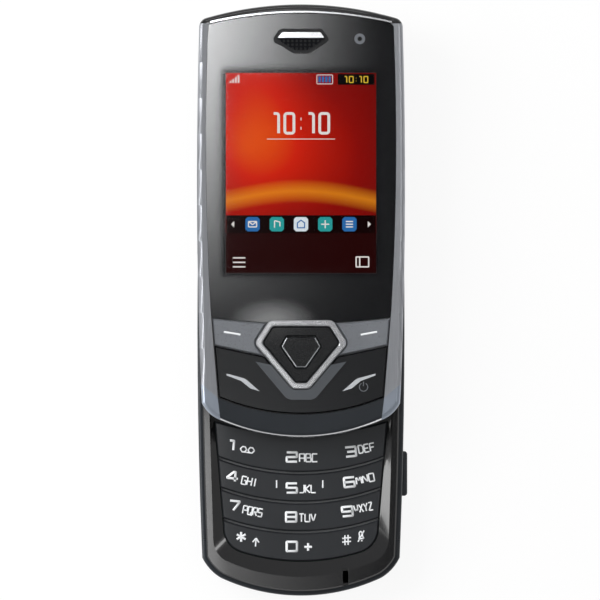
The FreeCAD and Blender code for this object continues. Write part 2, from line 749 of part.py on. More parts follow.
MIC_END = f"({BASE_BOTTOM} + rim_bottom_width + 1.3)"
mic_slot = block("mic_slot", ("mic_side - mic_slot_width / 2", "mic_side + mic_slot_width / 2"),
                 (f"{MIC_END} - mic_slot_length", f"{MIC_END} + 0.6"), (f"{DECK} - mic_slot_depth", f"{DECK} + 1"))
MIC_Y = f"({MIC_END} - 1.2)"
MIC_Z = ("front_housing_low", "front_housing_low + mic_thickness")
mic_nest = rod("mic_nest", "mic_side", MIC_Y, ("front_housing_low - 0.01", MIC_Z[1]), "mic_radius")
mic_throat = rod("mic_throat", "mic_side", MIC_Y, (MIC_Z[1], f"{DECK} - mic_slot_depth + 0.01"),
                 "mic_slot_width / 2")
keep("microphone", rod("mic_can", "mic_side", MIC_Y, MIC_Z, "mic_radius - seam"))
keep("base_front_housing", cut("front_housing", front_block, bowl, keypad_hole, plate_recess, *channels,
                               spring_room, mic_slot, mic_nest, mic_throat, *base_screws))

print("base front housing")

# Keypad: four curved rows, each pressed on its own

KEY_TOP = f"({DECK} - key_recess)"
KEY_LOW = f"({KEY_TOP} - key_thickness)"


def row_line(number):
    """Middle height of the lower edge of a row, counted from the bottom row."""
    return f"({BASE_BOTTOM} + keypad_bottom_rise + row_four_height + {number - 1} * row_pitch)"


def row_band(name, low, high):
    """The zone between two row lines, or open at an end where None is given."""
    def edge(line, gap):
        return f"({line} + {gap})", f"({line} + {gap} + row_sag)"
    low_middle, low_side = edge(low, "row_gap / 2") if low else (BASE_BOTTOM, BASE_BOTTOM)
    high_middle, high_side = edge(high, "-row_gap / 2") if high else (BASE_TOP, BASE_TOP)
    chain = [("start", inward("keypad_head_inset"), low_side), ("line", inward("keypad_head_inset"), high_side)]
    return sketch(name, symmetric(chain, low_middle if low else None, high_middle if high else None))


for number in (1, 2, 3, 4):
    from_bottom = 5 - number
    low = row_line(from_bottom - 1) if number < 4 else None
    high = row_line(from_bottom) if number > 1 else None
    band = slab(f"row_band_{number}", row_band(f"row_zone_{number}", low, high), KEY_LOW, KEY_TOP)
    keys = slab(f"row_keys_{number}", keypad_outline, KEY_LOW, KEY_TOP)
    keep(f"key_row_{number}", softened("Part::Chamfer", f"key_row_body_{number}",
                                       common(f"key_row_raw_{number}", band, keys), "key_bevel", level(KEY_TOP)))

MAT_TOP = f"({KEY_LOW} - mat_clearance)"
mat_outline = offset("mat_outline", keypad_outline, "-key_gap")
keep("keypad_mat", slab("mat", mat_outline, f"{MAT_TOP} - mat_thickness", MAT_TOP))
DOME_SHEET_TOP = f"({BOARD_TOP} + dome_sheet_thickness)"


def dome(name, x, y, low):
    cap = doc.addObject("Part::Cone", name)
    bind(cap, "Radius1", "dome_radius")
    bind(cap, "Radius2", "dome_radius * 0.6")
    bind(cap, "Height", "dome_height")
    bind(cap, "Placement.Base.x", x)
    bind(cap, "Placement.Base.y", y)
    bind(cap, "Placement.Base.z", low)
    return cap


key_domes = []
for number in (1, 2, 3, 4):
    middle = f"{row_line(4 - number)} + row_pitch / 2"
    for column, x in enumerate(("-key_column_pitch", "0", "key_column_pitch")):
        height = middle if column == 1 else f"{middle} + row_sag / 2"
        key_domes.append(dome(f"key_dome_{number}_{column + 1}", x, height, DOME_SHEET_TOP))
keep("key_dome_sheet", fuse("key_domes", slab("key_dome_film", mat_outline, BOARD_TOP, DOME_SHEET_TOP),
                            *key_domes))

print("keypad")

# Main board, with what is soldered to it

board_limit = block("board_limit", ALL_X, BOARD_Y, ("board_low", BOARD_TOP))
board_blank = common("board_blank", slab("board_slab", board_outline, "board_low", BOARD_TOP), board_limit)
screw_holes = [rod(f"board_hole_{number}", x, y, ("board_low - 1", f"{BOARD_TOP} + 1"), "screw_radius + fit")
               for number, (x, y) in enumerate(SCREW_SPOTS, start=1)]
board_notches = []
for name, (low, high), y in (("camera", ("camera_side - camera_module_width / 2 - bay_clearance", SIDE_REACH),
                              f"{CAMERA_Y} - camera_module_width / 2 - bay_clearance"),
                             ("speaker", (negative(SIDE_REACH), f"{SPEAKER_X[1]} + bay_clearance"),
                              f"{SPEAKER_Y[0]} - bay_clearance")):
    board_notches.append(block(f"board_notch_{name}", (low, high), (y, BASE_TOP),
                               ("board_low - 1", f"{BOARD_TOP} + 1")))
keep("main_board", cut("board", board_blank, *screw_holes, *board_notches))
SHIELD_X = (negative(inward("plate_window_inset")), inward("plate_window_inset"))
shields = [block("shield_upper", SHIELD_X, ("shield_split + shield_gap / 2", "shield_high"), (BOARD_TOP, "front_housing_low - fit / 3")),
           block("shield_lower", SHIELD_X, ("shield_low", "shield_split - shield_gap / 2"), (BOARD_TOP, "front_housing_low - fit / 3"))]
keep("shield_cans", group("shields", *shields))

battery_raw = block("battery_raw", ("-battery_width / 2", "battery_width / 2"), BATTERY_Y,
                    ("battery_low", "battery_low + battery_thickness"))
keep("battery", softened("Part::Fillet", "battery_case", battery_raw, "battery_round", upright))
keep("battery_contacts", block("contacts", ("-contact_width / 2", "contact_width / 2"), CONTACT_Y, CONTACT_Z))
keep("sim_holder", block("sim_tray", SIM_X, SIM_Y, (f"{SIM_ROOF} - sim_thickness", SIM_ROOF)))

MOTOR_Z = f"({SIM_ROOF} - motor_radius)"


def lengthways(name, x, y, z, radius, length):
    """A cylinder along Y."""
    solid = doc.addObject("Part::Cylinder", name)
    solid.Placement = FreeCAD.Placement(Vector(0, 0, 0), FreeCAD.Rotation(Vector(1, 0, 0), -90))
    bind(solid, "Radius", radius)
    bind(solid, "Height", length)
    bind(solid, "Placement.Base.x", x)
    bind(solid, "Placement.Base.y", y)
    bind(solid, "Placement.Base.z", z)
    return solid


motor_can = lengthways("motor_can", "motor_side", MOTOR_Y, MOTOR_Z, "motor_radius", "motor_length")
motor_pin = lengthways("motor_pin", "motor_side", f"{MOTOR_Y} - 0.6", MOTOR_Z, "motor_radius / 4", "0.7")
motor_weight = lengthways("motor_weight", "motor_side", f"{MOTOR_Y} - 0.6 - weight_length", MOTOR_Z,
                          "motor_radius - fit", "weight_length")
keep("vibration_motor", fuse("motor", motor_can, motor_pin, motor_weight))

keep("loudspeaker", block("speaker", SPEAKER_X, SPEAKER_Y, ("back_wall", "back_wall + speaker_thickness")))
ring_outer = rod("camera_ring_outer", "camera_side", CAMERA_Y, CAMERA_RING_Z, "camera_ring_radius - seam")
ring_inner = rod("camera_ring_inner", "camera_side", CAMERA_Y, ("-1", "back_wall + 1"),
                 "camera_ring_radius - seam - camera_ring_wall")
keep("camera_ring", cut("camera_ring_body", ring_outer, ring_inner))
keep("camera_window", rod("camera_glass", "camera_side", CAMERA_Y,
                          ("back_wall + 0.4 - camera_window_thickness", "back_wall + 0.4"),
                          "camera_ring_radius - seam - camera_ring_wall - seam"))
keep("camera_module", block("camera_body",
                            ("camera_side - camera_module_width / 2", "camera_side + camera_module_width / 2"),
                            (f"{CAMERA_Y} - camera_module_width / 2", f"{CAMERA_Y} + camera_module_width / 2"),
                            CAMERA_MODULE_Z))
socket_body = block("socket_body", SOCKET_X, SOCKET_Y, SOCKET_Z)
socket_mouth = block("socket_mouth", (f"{SOCKET_X[0]} + socket_wall", f"{SOCKET_X[1]} - socket_wall"),
                     (f"{SOCKET_Y[0]} + 1", f"{SOCKET_Y[1]} + 1"),
                     (f"{SOCKET_Z[0]} + socket_wall", f"{SOCKET_Z[1]} - socket_wall"))
socket_tongue = block("socket_tongue", ("-socket_width / 3", "socket_width / 3"),
                      (f"{SOCKET_Y[0]} + 0.5", f"{SOCKET_Y[1]} - 1"),
                      ("socket_low + socket_height / 2 - 0.3", "socket_low + socket_height / 2 + 0.3"))
keep("data_socket", fuse("socket", cut("socket_shell", socket_body, socket_mouth), socket_tongue))

print("base contents")

# Side keys and their switches


def side_key(name, side, reach, middle, length):
    x = [f"{reach} - side_key_depth", reach]
    if side < 0:
        x = [negative(x[1]), negative(x[0])]
    raw = block(name + "_raw", x, (f"{middle} - {length} / 2", f"{middle} + {length} / 2"),
                ("side_key_low", "side_key_low + side_key_height"))
    outer = value(reach) * side
    return softened("Part::Fillet", name + "_body", raw, "side_key_round",
                    lambda edge: abs(edge.BoundBox.XMin - outer) + abs(edge.BoundBox.XMax - outer) < 1e-4)


keep("camera_key", side_key("camera_key", 1, "camera_key_reach", "camera_key_centre", "camera_key_length"))
keep("volume_key", side_key("volume_key", -1, "volume_key_reach", "volume_key_centre", "volume_key_length"))
switches = []
for name, side, reach, middle in (("camera", 1, "camera_key_reach", "camera_key_centre"),
                                  ("volume", -1, "volume_key_reach", "volume_key_centre")):
    back = f"{reach} - side_key_depth - side_key_travel - switch_thickness"
    x = [back, f"{back} + switch_thickness"]
    if side < 0:
        x = [negative(x[1]), negative(x[0])]
    switches.append(block(f"{name}_switch", x, (f"{middle} - switch_length / 2", f"{middle} + switch_length / 2"),
                          ("side_key_low", "side_key_low + side_key_height")))
keep("side_switches", group("switches", *switches))

# Slide: fixed plate on the base, moving plate hooked round its edges, springs and flex cable

plate_raw = block("plate_raw", (negative(inward("plate_inset")), inward("plate_inset")), PLATE_Y, (PLATE_LOW, DECK))
plate_rounded = softened("Part::Fillet", "plate_rounded", plate_raw, "plate_corner", upright)
plate_window = block("plate_window", (negative(inward("plate_window_inset")), inward("plate_window_inset")),
                     (f"{PLATE_Y[0]} + plate_bar", f"{PLATE_Y[1]} - plate_bar"), (f"{PLATE_LOW} - 1", f"{DECK} + 1"))


def plate_screw(name, x, y, low, high, head_low, head_high):
    shaft = rod(name + "_shaft", x, y, (low, high), "screw_radius")
    head = rod(name + "_head", x, y, (head_low, head_high), "screw_head_radius")
    return fuse(name, shaft, head)


fixed_spots = [(x, y) for y in (f"{PLATE_Y[0]} + plate_screw_margin", f"{PLATE_Y[1]} - plate_screw_margin")
               for x in both_sides("(half_width - plate_window_inset) - 1")]
fixed_screws = [plate_screw(f"fixed_screw_{number}", x, y, f"{PLATE_LOW} - 1", DECK, f"{DECK} - 0.3", DECK)
                for number, (x, y) in enumerate(fixed_spots, start=1)]
keep("fixed_plate_screws", group("fixed_screws", *fixed_screws))
keep("fixed_slide_plate", cut("fixed_plate", plate_rounded, plate_window, *fixed_screws))
front_housing = pieces["base_front_housing"]
keep("base_front_housing", cut("front_housing_drilled", front_housing, *fixed_screws))

RUNNER_LOW = f"({SLIDER_LOW} + runner_air)"
RUNNER_TOP = f"({RUNNER_LOW} + runner_thickness)"
RUNNER_HALF = "((half_width - plate_inset) + hook_side_gap + hook_wall)"
RUNNER_Y = (f"{PLATE_Y[1]} - 0.3 - runner_length", f"{PLATE_Y[1]} - 0.3")
SLIDER_SPOTS = [(x, f"{SLIDER_TOP} - slider_screw_upper_drop") for x in both_sides(inward("slider_screw_inset"))]
SLIDER_SPOTS += [(x, f"{SLIDER_BOTTOM} + slider_screw_lower_rise") for x in both_sides(inward("slider_screw_inset"))]
runner_notches = [rod(f"runner_notch_{number}", x, y, (f"{RUNNER_LOW} - 1", f"{RUNNER_TOP} + 1"),
                      "screw_head_radius + fit") for number, (x, y) in enumerate(SLIDER_SPOTS, start=1)]
runner_sheet = block("runner_sheet", (negative(RUNNER_HALF), RUNNER_HALF), RUNNER_Y, (RUNNER_LOW, RUNNER_TOP))
hooks = []
for side in ("right", "left"):
    web_x = ("(half_width - plate_inset) + hook_side_gap", RUNNER_HALF)
    lip_x = (f"{RUNNER_HALF} - hook_wall - hook_lip", RUNNER_HALF)
    if side == "left":
        web_x = (negative(web_x[1]), negative(web_x[0]))
        lip_x = (negative(lip_x[1]), negative(lip_x[0]))
    hook_y = (f"{RUNNER_Y[1]} - hook_length", RUNNER_Y[1])
    hooks.append(block(f"hook_web_{side}", web_x, hook_y, (HOOK_LOW, RUNNER_TOP)))
    hooks.append(block(f"hook_lip_{side}", lip_x, hook_y, (HOOK_LOW, HOOK_HIGH)))
runner_spots = [(x, y) for y in (f"{RUNNER_Y[0]} + plate_screw_margin", f"{RUNNER_Y[1]} - plate_screw_margin")
                for x in both_sides(inward("plate_screw_inset"))]
runner_screws = [plate_screw(f"runner_screw_{number}", x, y, RUNNER_LOW, f"{FLOOR_TOP} - 0.1", RUNNER_LOW,
                             f"{RUNNER_LOW} + runner_thickness / 2")
                 for number, (x, y) in enumerate(runner_spots, start=1)]
keep("moving_plate_screws", group("runner_screw_set", *runner_screws))
keep("moving_slide_plate", cut("moving_plate", fuse("moving_plate_raw", runner_sheet, *hooks),
                               *runner_notches, *runner_screws))


def spring(name, side):
    """A hairpin spring: two legs and a round loop, flat in the plate's window."""
    wire = value("spring_wire_radius")
    loop = value("spring_loop_radius")
    leg = value("spring_leg")
    middle = Vector(side * value("(half_width - plate_window_inset) / 2"), value(f"({PLATE_Y[0]} + {PLATE_Y[1]}) / 2"),
                    value(f"{DECK} - spring_room_depth") + wire)
    ends = [middle + Vector(loop, 0, 0), middle - Vector(loop, 0, 0)]
    tips = [end + Vector(0, leg, 0) for end in ends]
    edges = [Part.LineSegment(tips[0], ends[0]).toShape(),
             Part.Arc(ends[0], middle - Vector(0, loop, 0), ends[1]).toShape(),
             Part.LineSegment(ends[1], tips[1]).toShape()]
    section = Part.Wire(Part.makeCircle(wire, tips[0], Vector(0, 1, 0)))
    result = doc.addObject("Part::Feature", name)
    result.Shape = Part.Wire(edges).makePipeShell([section], True, False)
    return result


keep("slide_springs", group("springs", spring("spring_right", 1), spring("spring_left", -1)))

FLEX_LOW = f"({DECK} - 0.6)"
flex_flat = block("flex_flat", ("-flex_width / 2", "flex_width / 2"),
                  (f"{PLATE_Y[0]} + plate_bar + 1", f"{PLATE_Y[1]} - plate_bar - 1"),
                  (FLEX_LOW, f"{FLEX_LOW} + flex_thickness"))
flex_down = block("flex_down", ("-flex_width / 2", "flex_width / 2"),
                  (f"{PLATE_Y[0]} + plate_bar + 1", f"{PLATE_Y[0]} + plate_bar + 1 + flex_thickness"),
                  (f"{DECK} - spring_room_depth", FLEX_LOW))
flex_up = block("flex_up", ("-flex_width / 2", "flex_width / 2"),
                (f"{PLATE_Y[1]} - plate_bar - 1 - flex_thickness", f"{PLATE_Y[1]} - plate_bar - 1"),
                (FLEX_LOW, RUNNER_LOW))
keep("slide_flex", fuse("flex", flex_flat, flex_down, flex_up))

print("slide")

# Slider: rear housing, and the block that its rails, chin and frame are cut from

floor_raw = slab("floor_raw", slider_outline, SLIDER_LOW, FLOOR_TOP)
floor_edge = softened("Part::Chamfer", "floor_edge", floor_raw, "floor_edge", level(SLIDER_LOW))
runner_recess = block("runner_recess", (f"-({RUNNER_HALF} + fit)", f"{RUNNER_HALF} + fit"),
                      (f"{RUNNER_Y[0]} - fit", f"{RUNNER_Y[1]} + fit"), ("0", RUNNER_TOP))
slider_screws = [plate_screw(f"slider_screw_{number}", x, y, f"{SLIDER_LOW} + slider_screw_sink", f"{FLOOR_TOP} + slider_screw_bite",
                             f"{SLIDER_LOW} + slider_screw_sink", f"{FLOOR_TOP} - slider_screw_roof")
                 for number, (x, y) in enumerate(SLIDER_SPOTS, start=1)]
screw_mouths = [rod(f"screw_mouth_{number}", x, y, (f"{SLIDER_LOW} - 1", f"{SLIDER_LOW} + slider_screw_sink + 0.1"),
                    "screw_head_radius") for number, (x, y) in enumerate(SLIDER_SPOTS, start=1)]
keep("slider_screws", group("slider_screw_set", *slider_screws))
keep("slider_rear_housing", cut("slider_floor_plate", floor_edge, runner_recess, *slider_screws, *screw_mouths,
                                *runner_screws))

slider_slab = slab("slider_slab", slider_outline, FLOOR_TOP, RAIL_TOP)
slider_block = softened("Part::Fillet", "slider_block", slider_slab, "rail_round", level(RAIL_TOP))
face_block = slab("face_block", face_outline, "0", f"{RAIL_TOP} + 1")

RAIL_END = f"({SLIDER_TOP} - rail_top_drop)"
top_zone = block("top_zone", ALL_X, (RAIL_END, END_REACH), (FLOOR_TOP, f"{RAIL_TOP} + 1"))
chin_zone_outline = sketch("chin_zone_outline", symmetric(
    [("start", "chin_cut_half", f"{SLIDER_BOTTOM} - 5"),
     ("line", "chin_cut_half", f"{SLIDER_BOTTOM} + chin_cut_rise"),
     ("line", inward("face_foot_inset"), f"{SLIDER_BOTTOM} + face_foot_rise")],
    None, f"{SLIDER_BOTTOM} + face_bottom_rise"))
chin_zone = slab("chin_zone", chin_zone_outline, FLOOR_TOP, f"{RAIL_TOP} + 1")
right_half = block("right_half", ("0", SIDE_REACH), (negative(END_REACH), END_REACH), ("0", f"{RAIL_TOP} + 1"))
left_half = block("left_half", (negative(SIDE_REACH), "0"), (negative(END_REACH), END_REACH),
                  ("0", f"{RAIL_TOP} + 1"))
rails = cut("rails", slider_block, face_block, top_zone, chin_zone)
keep("side_rail_right", common("rail_right", rails, right_half))
keep("side_rail_left", common("rail_left", rails, left_half))

chin = common("chin", slider_block, chin_zone)
strip_zone_outline = sketch("strip_zone_outline", symmetric(
    [("start", inward("strip_foot_inset"), f"{SLIDER_BOTTOM} - 5"),
     ("line", inward("strip_foot_inset"), f"{SLIDER_BOTTOM} + lip_rise"),
     ("line", inward("face_foot_inset"), f"{SLIDER_BOTTOM} + face_foot_rise + 0.01")]))
strip_zone = slab("strip_zone", strip_zone_outline, "0", f"{RAIL_TOP} + 1")
lip_inner = slab("lip_inner", offset("lip_inner_outline", slider_outline, "-chin_line_width"), "0",
                 f"{RAIL_TOP} + 1")
line_zone = block("line_zone", ALL_X, (negative(END_REACH), f"{SLIDER_BOTTOM} + face_foot_rise"),
                  (f"{RAIL_TOP} - chin_line_height", f"{RAIL_TOP} + 1"))
chin_line_room = cut("chin_line_room", line_zone, lip_inner)
chin_strip_block = common("chin_strip_block", chin, strip_zone)
keep("chin_strip", cut("chin_strip_body", chin_strip_block, chin_line_room, *slider_screws))
keep("chin_line", common("chin_line_body", chin_strip_block, chin_line_room))
corners = cut("chin_corners", chin, strip_zone)
keep("chin_corner_right", cut("corner_right", common("corner_right_raw", corners, right_half), *slider_screws))
keep("chin_corner_left", cut("corner_left", common("corner_left_raw", corners, left_half), *slider_screws))

print("slider shells")

# Front frame inside the rails: top band, web with the display's aperture, nests for keys and sensors

SCREEN_TOP = f"({SLIDER_TOP} - screen_top_drop)"
SCREEN_Y = (f"{SCREEN_TOP} - screen_height", SCREEN_TOP)
SCREEN_X = ("-screen_width / 2", "screen_width / 2")
MODULE_X = (f"{SCREEN_X[0]} - module_side", f"{SCREEN_X[1]} + module_side")
MODULE_Y = (f"{SCREEN_Y[0]} - module_bottom", f"{SCREEN_Y[1]} + module_top")
MODULE_Z = (f"{WEB_LOW} - module_thickness", WEB_LOW)
module_room = block("module_room", (f"{MODULE_X[0]} - fit", f"{MODULE_X[1]} + fit"),
                    (f"{MODULE_Y[0]} - fit", f"{MODULE_Y[1]} + fit"), (FLOOR_TOP, WEB_LOW))
aperture = block("aperture", (f"{SCREEN_X[0]} - screen_border", f"{SCREEN_X[1]} + screen_border"),
                 (f"{SCREEN_Y[0]} - screen_border", f"{SCREEN_Y[1]} + screen_border"), (FLOOR_TOP, f"{RAIL_TOP} + 1"))
window_zone_outline = sketch("window_zone_outline", symmetric(
    [("start", "zone_half", f"{SLIDER_BOTTOM} + window_side_rise + 0.4"),
     ("line", "zone_half", f"{SLIDER_TOP} + 5")],
    f"{SLIDER_BOTTOM} + window_middle_rise", None))
window_zone = slab("window_zone", window_zone_outline, "0", f"{RAIL_TOP} + 1")

ring_outline = sketch("ring_outline", symmetric(
    [("start", "ring_bottom_half", f"{SLIDER_BOTTOM} + ring_bottom_rise"),
     ("line", "ring_side_half", f"{SLIDER_BOTTOM} + ring_side_rise"),
     ("line", "ring_top_half", f"{SLIDER_BOTTOM} + ring_top_rise")]))
ring_slab = slab("ring_slab", ring_outline, FUNCTION_LOW, f"{FUNCTION_TOP} + ring_proud")
ring_rounded = softened("Part::Fillet", "ring_rounded", ring_slab, "ring_corner", upright)
ring_hole_slab = slab("ring_hole_slab", offset("ring_hole_outline", ring_outline, "-ring_width"),
                      "0", f"{RAIL_TOP} + 1")
ring_hole = softened("Part::Fillet", "ring_hole", ring_hole_slab, "ring_corner - ring_width / 2", upright)
keep("nav_ring", softened("Part::Chamfer", "nav_ring_body", cut("nav_ring_raw", ring_rounded, ring_hole),
                          "ring_bevel", level(f"{FUNCTION_TOP} + ring_proud")))


def ring_clearance(name, gap):
    """The ring's outer form grown by a gap, as a tool that runs right through."""
    grown = offset(name + "_outline", ring_outline, gap)
    grown.Join = "Intersection"
    tool = slab(name + "_slab", grown, "0", f"{RAIL_TOP} + 1")
    return softened("Part::Fillet", name, tool, f"ring_corner + {gap}", upright)


ring_seat = ring_clearance("ring_seat", "seam")
ring_room = ring_clearance("ring_room", "key_gap")

ring_pocket = common("ring_pocket", ring_seat, block("ring_pocket_zone", ALL_X, (negative(END_REACH), END_REACH),
                                                     (FUNCTION_LOW, f"{RAIL_TOP} + 1")))

frame_block = common("frame_block", slab("frame_slab", face_outline, FLOOR_TOP, FRAME_TOP), slider_block)
key_zone = cut("key_zone", slab("key_zone_slab", face_outline, PAD_LOW, f"{RAIL_TOP} + 1"), window_zone)
FUNCTION_BOARD_Y = (f"{SLIDER_BOTTOM} + window_middle_rise - 0.5 - function_board_length",
                    f"{SLIDER_BOTTOM} + window_middle_rise - 0.5")
under_keys = block("under_keys", ("-(half_width - function_board_inset) - fit", "(half_width - function_board_inset) + fit"),
                   (f"{FUNCTION_BOARD_Y[0]} - fit", f"{FUNCTION_BOARD_Y[1]} + fit"),
                   (FLOOR_TOP, f"{PAD_LOW} - function_web"))
NAV_Y = f"({SLIDER_BOTTOM} + (ring_top_rise + ring_bottom_rise) / 2 + 0.6)"
PRESS_SPOTS = [("soft_right", "soft_dome_side", f"{SLIDER_BOTTOM} + soft_side_rise + 1"),
               ("soft_left", "-soft_dome_side", f"{SLIDER_BOTTOM} + soft_side_rise + 1"),
               ("call", "-soft_dome_side + 1", f"{SLIDER_BOTTOM} + call_dome_rise"),
               ("end", "soft_dome_side - 1", f"{SLIDER_BOTTOM} + call_dome_rise"),
               ("nav_up", "0", f"{NAV_Y} + nav_dome_reach - 1.4"),
               ("nav_down", "0", f"{NAV_Y} - nav_dome_reach + 1.4"),
               ("nav_left", "-nav_dome_reach", NAV_Y),
               ("nav_right", "nav_dome_reach", NAV_Y),
               ("centre", "0", NAV_Y)]
plunger_holes = [rod(f"plunger_hole_{name}", x, y, (FLOOR_TOP, f"{PAD_LOW} + 0.01"), "plunger_radius + bay_clearance")
                 for name, x, y in PRESS_SPOTS]

EAR_Y = f"({SLIDER_TOP} - ear_side_drop)"
EYE_Y = f"({SLIDER_TOP} - eye_drop)"
receiver_room = block("receiver_room", ("-receiver_width / 2 - fit", "receiver_width / 2 + fit"),
                      (f"{EAR_Y} - receiver_length / 2 - fit", f"{EAR_Y} + receiver_length / 2 + fit"),
                      (FLOOR_TOP, f"{FRAME_TOP} + 1"))
eye_room = block("eye_room", ("eye_side - eye_body_width / 2 - fit", "eye_side + eye_body_width / 2 + fit"),
                 (f"{EYE_Y} - eye_body_width / 2 - fit", f"{EYE_Y} + eye_body_width / 2 + fit"),
                 (FLOOR_TOP, f"{FRAME_TOP} + 1"))
top_band = cut("top_band", common("top_band_raw", slider_block, top_zone), face_block)


def top_arc(extra, corner_extra):
    """Corner and middle heights of an arc that follows the window's top edge."""
    return (f"{SLIDER_TOP} - face_corner_drop + {corner_extra}", f"{SLIDER_TOP} - face_top_drop + {extra}")


trim_low = top_arc("trim_gap", "trim_gap")
trim_high = top_arc("trim_gap + trim_width", "trim_gap + trim_width * 0.8")
trim_outline = sketch("trim_outline", [
    ("start", inward("face_corner_inset"), trim_low[0]),
    ("line", inward("face_corner_inset"), trim_high[0]),
    ("arc", "0", trim_high[1], negative(inward("face_corner_inset")), trim_high[0]),
    ("line", negative(inward("face_corner_inset")), trim_low[0]),
    ("arc", "0", trim_low[1], inward("face_corner_inset"), trim_low[0])])
top_trim = slab("top_trim_body", trim_outline, f"{RAIL_TOP} - trim_seat", f"{RAIL_TOP} + trim_rise")
keep("top_trim", top_trim)
keep("slider_front_frame", cut("front_frame", fuse("front_frame_raw", frame_block, top_band), module_room, aperture,
                               key_zone, ring_pocket, under_keys, *plunger_holes, receiver_room, eye_room, top_trim,
                               *slider_screws))

print("front frame")

# Window, mask film and display

ear_outline = sketch("ear_outline", symmetric(
    [("start", "ear_bottom_half", f"{SLIDER_TOP} - ear_bottom_drop"),
     ("line", "ear_side_half", EAR_Y),
     ("line", "ear_top_half", f"{SLIDER_TOP} - ear_top_drop")]))
ear_hole = softened("Part::Fillet", "ear_hole", slab("ear_hole_slab", ear_outline, "0", f"{RAIL_TOP} + 1"),
                    "ear_corner", upright)
window_face = slab("window_face", offset("window_outline", face_outline, "-seam"), WINDOW_LOW, FACE_TOP)
window_trimmed = common("window_trimmed", window_face, window_zone)
window_raw = cut("window_raw", window_trimmed, ear_hole, ring_seat)
keep("display_window", window_raw)
mask_face = slab("mask_face", offset("mask_outline", face_outline, "-seam"), FRAME_TOP,
                 f"{WINDOW_LOW} - film_gap")
eye_hole = rod("eye_hole", "eye_side", EYE_Y, ("0", f"{RAIL_TOP} + 1"), "eye_radius")
keep("window_mask", cut("mask", common("mask_trimmed", mask_face, window_zone), ear_hole, ring_seat, aperture,
                        eye_hole))

keep("display_module", block("display_body", MODULE_X, MODULE_Y, MODULE_Z))
keep("display_screen", block("screen_glass", SCREEN_X, SCREEN_Y, (WEB_LOW, f"{WEB_LOW} + screen_thickness")))

# Earpiece: blade above, mesh below, receiver behind; front camera beside it

ear_inner = softened("Part::Fillet", "ear_inner",
                     slab("ear_inner_slab", offset("ear_inner_outline", ear_outline, "-ear_border"), FRAME_TOP,
                          f"{FACE_TOP} + blade_rise"), "ear_inner_corner", upright)
blade_zone = block("blade_zone", ALL_X, (f"{SLIDER_TOP} - blade_drop", SLIDER_TOP), ("0", f"{RAIL_TOP} + 1"))
keep("earpiece_blade", common("blade", ear_inner, blade_zone))
mesh_zone = block("mesh_zone", ALL_X, (f"{EAR_Y} - 5", f"{SLIDER_TOP} - blade_drop"),
                  ("0", f"{FRAME_TOP} + grille_thickness"))
mesh_holes = []
for number in range(-5, 6):
    for line in range(0, 3):
        x = f"{number} * grille_hole_pitch"
        reach = value("ear_side_half - ear_border") - 0.9 - line * 1.1
        if abs(value(x)) < reach:
            mesh_holes.append(rod(f"mesh_hole_{number + 6}_{line + 1}", x,
                                  f"{SLIDER_TOP} - blade_drop - 0.7 - {line} * grille_hole_pitch * 0.9",
                                  (f"{FRAME_TOP} - 1", f"{FACE_TOP}"), "grille_hole_radius"))
keep("earpiece_mesh", cut("mesh", common("mesh_raw", ear_inner, mesh_zone), *mesh_holes))
keep("receiver", block("receiver_body", ("-receiver_width / 2", "receiver_width / 2"),
                       (f"{EAR_Y} - receiver_length / 2", f"{EAR_Y} + receiver_length / 2"),
                       (f"{FRAME_TOP} - receiver_thickness", FRAME_TOP)))
eye_body = block("eye_body", ("eye_side - eye_body_width / 2", "eye_side + eye_body_width / 2"),
                 (f"{EYE_Y} - eye_body_width / 2", f"{EYE_Y} + eye_body_width / 2"),
                 (f"{FRAME_TOP} - eye_body_thickness", FRAME_TOP))
eye_barrel = rod("eye_barrel", "eye_side", EYE_Y, (FRAME_TOP, WINDOW_LOW), "eye_radius - seam")
keep("front_camera", fuse("front_camera_body", eye_body, eye_barrel))

print("display and earpiece")

# Function keys

moving_face = slab("moving_face", offset("moving_face_outline", face_outline, "-key_gap"), FUNCTION_LOW,
                   FUNCTION_TOP)
soft_zone_outline = sketch("soft_zone_outline", [
    ("start", "0", f"{SLIDER_BOTTOM} + soft_middle_rise"),
    ("line", "zone_half", f"{SLIDER_BOTTOM} + soft_side_rise"),
    ("line", "zone_half", f"{SLIDER_BOTTOM} + window_side_rise + 0.4 - key_gap"),
    ("arc", "0", f"{SLIDER_BOTTOM} + window_middle_rise - key_gap", "-zone_half",
     f"{SLIDER_BOTTOM} + window_side_rise + 0.4 - key_gap"),
    ("line", "-zone_half", f"{SLIDER_BOTTOM} + soft_side_rise"),
    ("line", "0", f"{SLIDER_BOTTOM} + soft_middle_rise")])
soft_zone = slab("soft_zone", soft_zone_outline, "0", f"{RAIL_TOP} + 1")
soft_keys = cut("soft_keys", common("soft_keys_raw", moving_face, soft_zone), ring_room)
for side, half in (("right", right_half), ("left", left_half)):
    keep(f"soft_key_{side}", softened("Part::Chamfer", f"soft_key_{side}_body",
                                      common(f"soft_key_{side}_raw", soft_keys, half), "function_bevel",
                                      level(FUNCTION_TOP)))

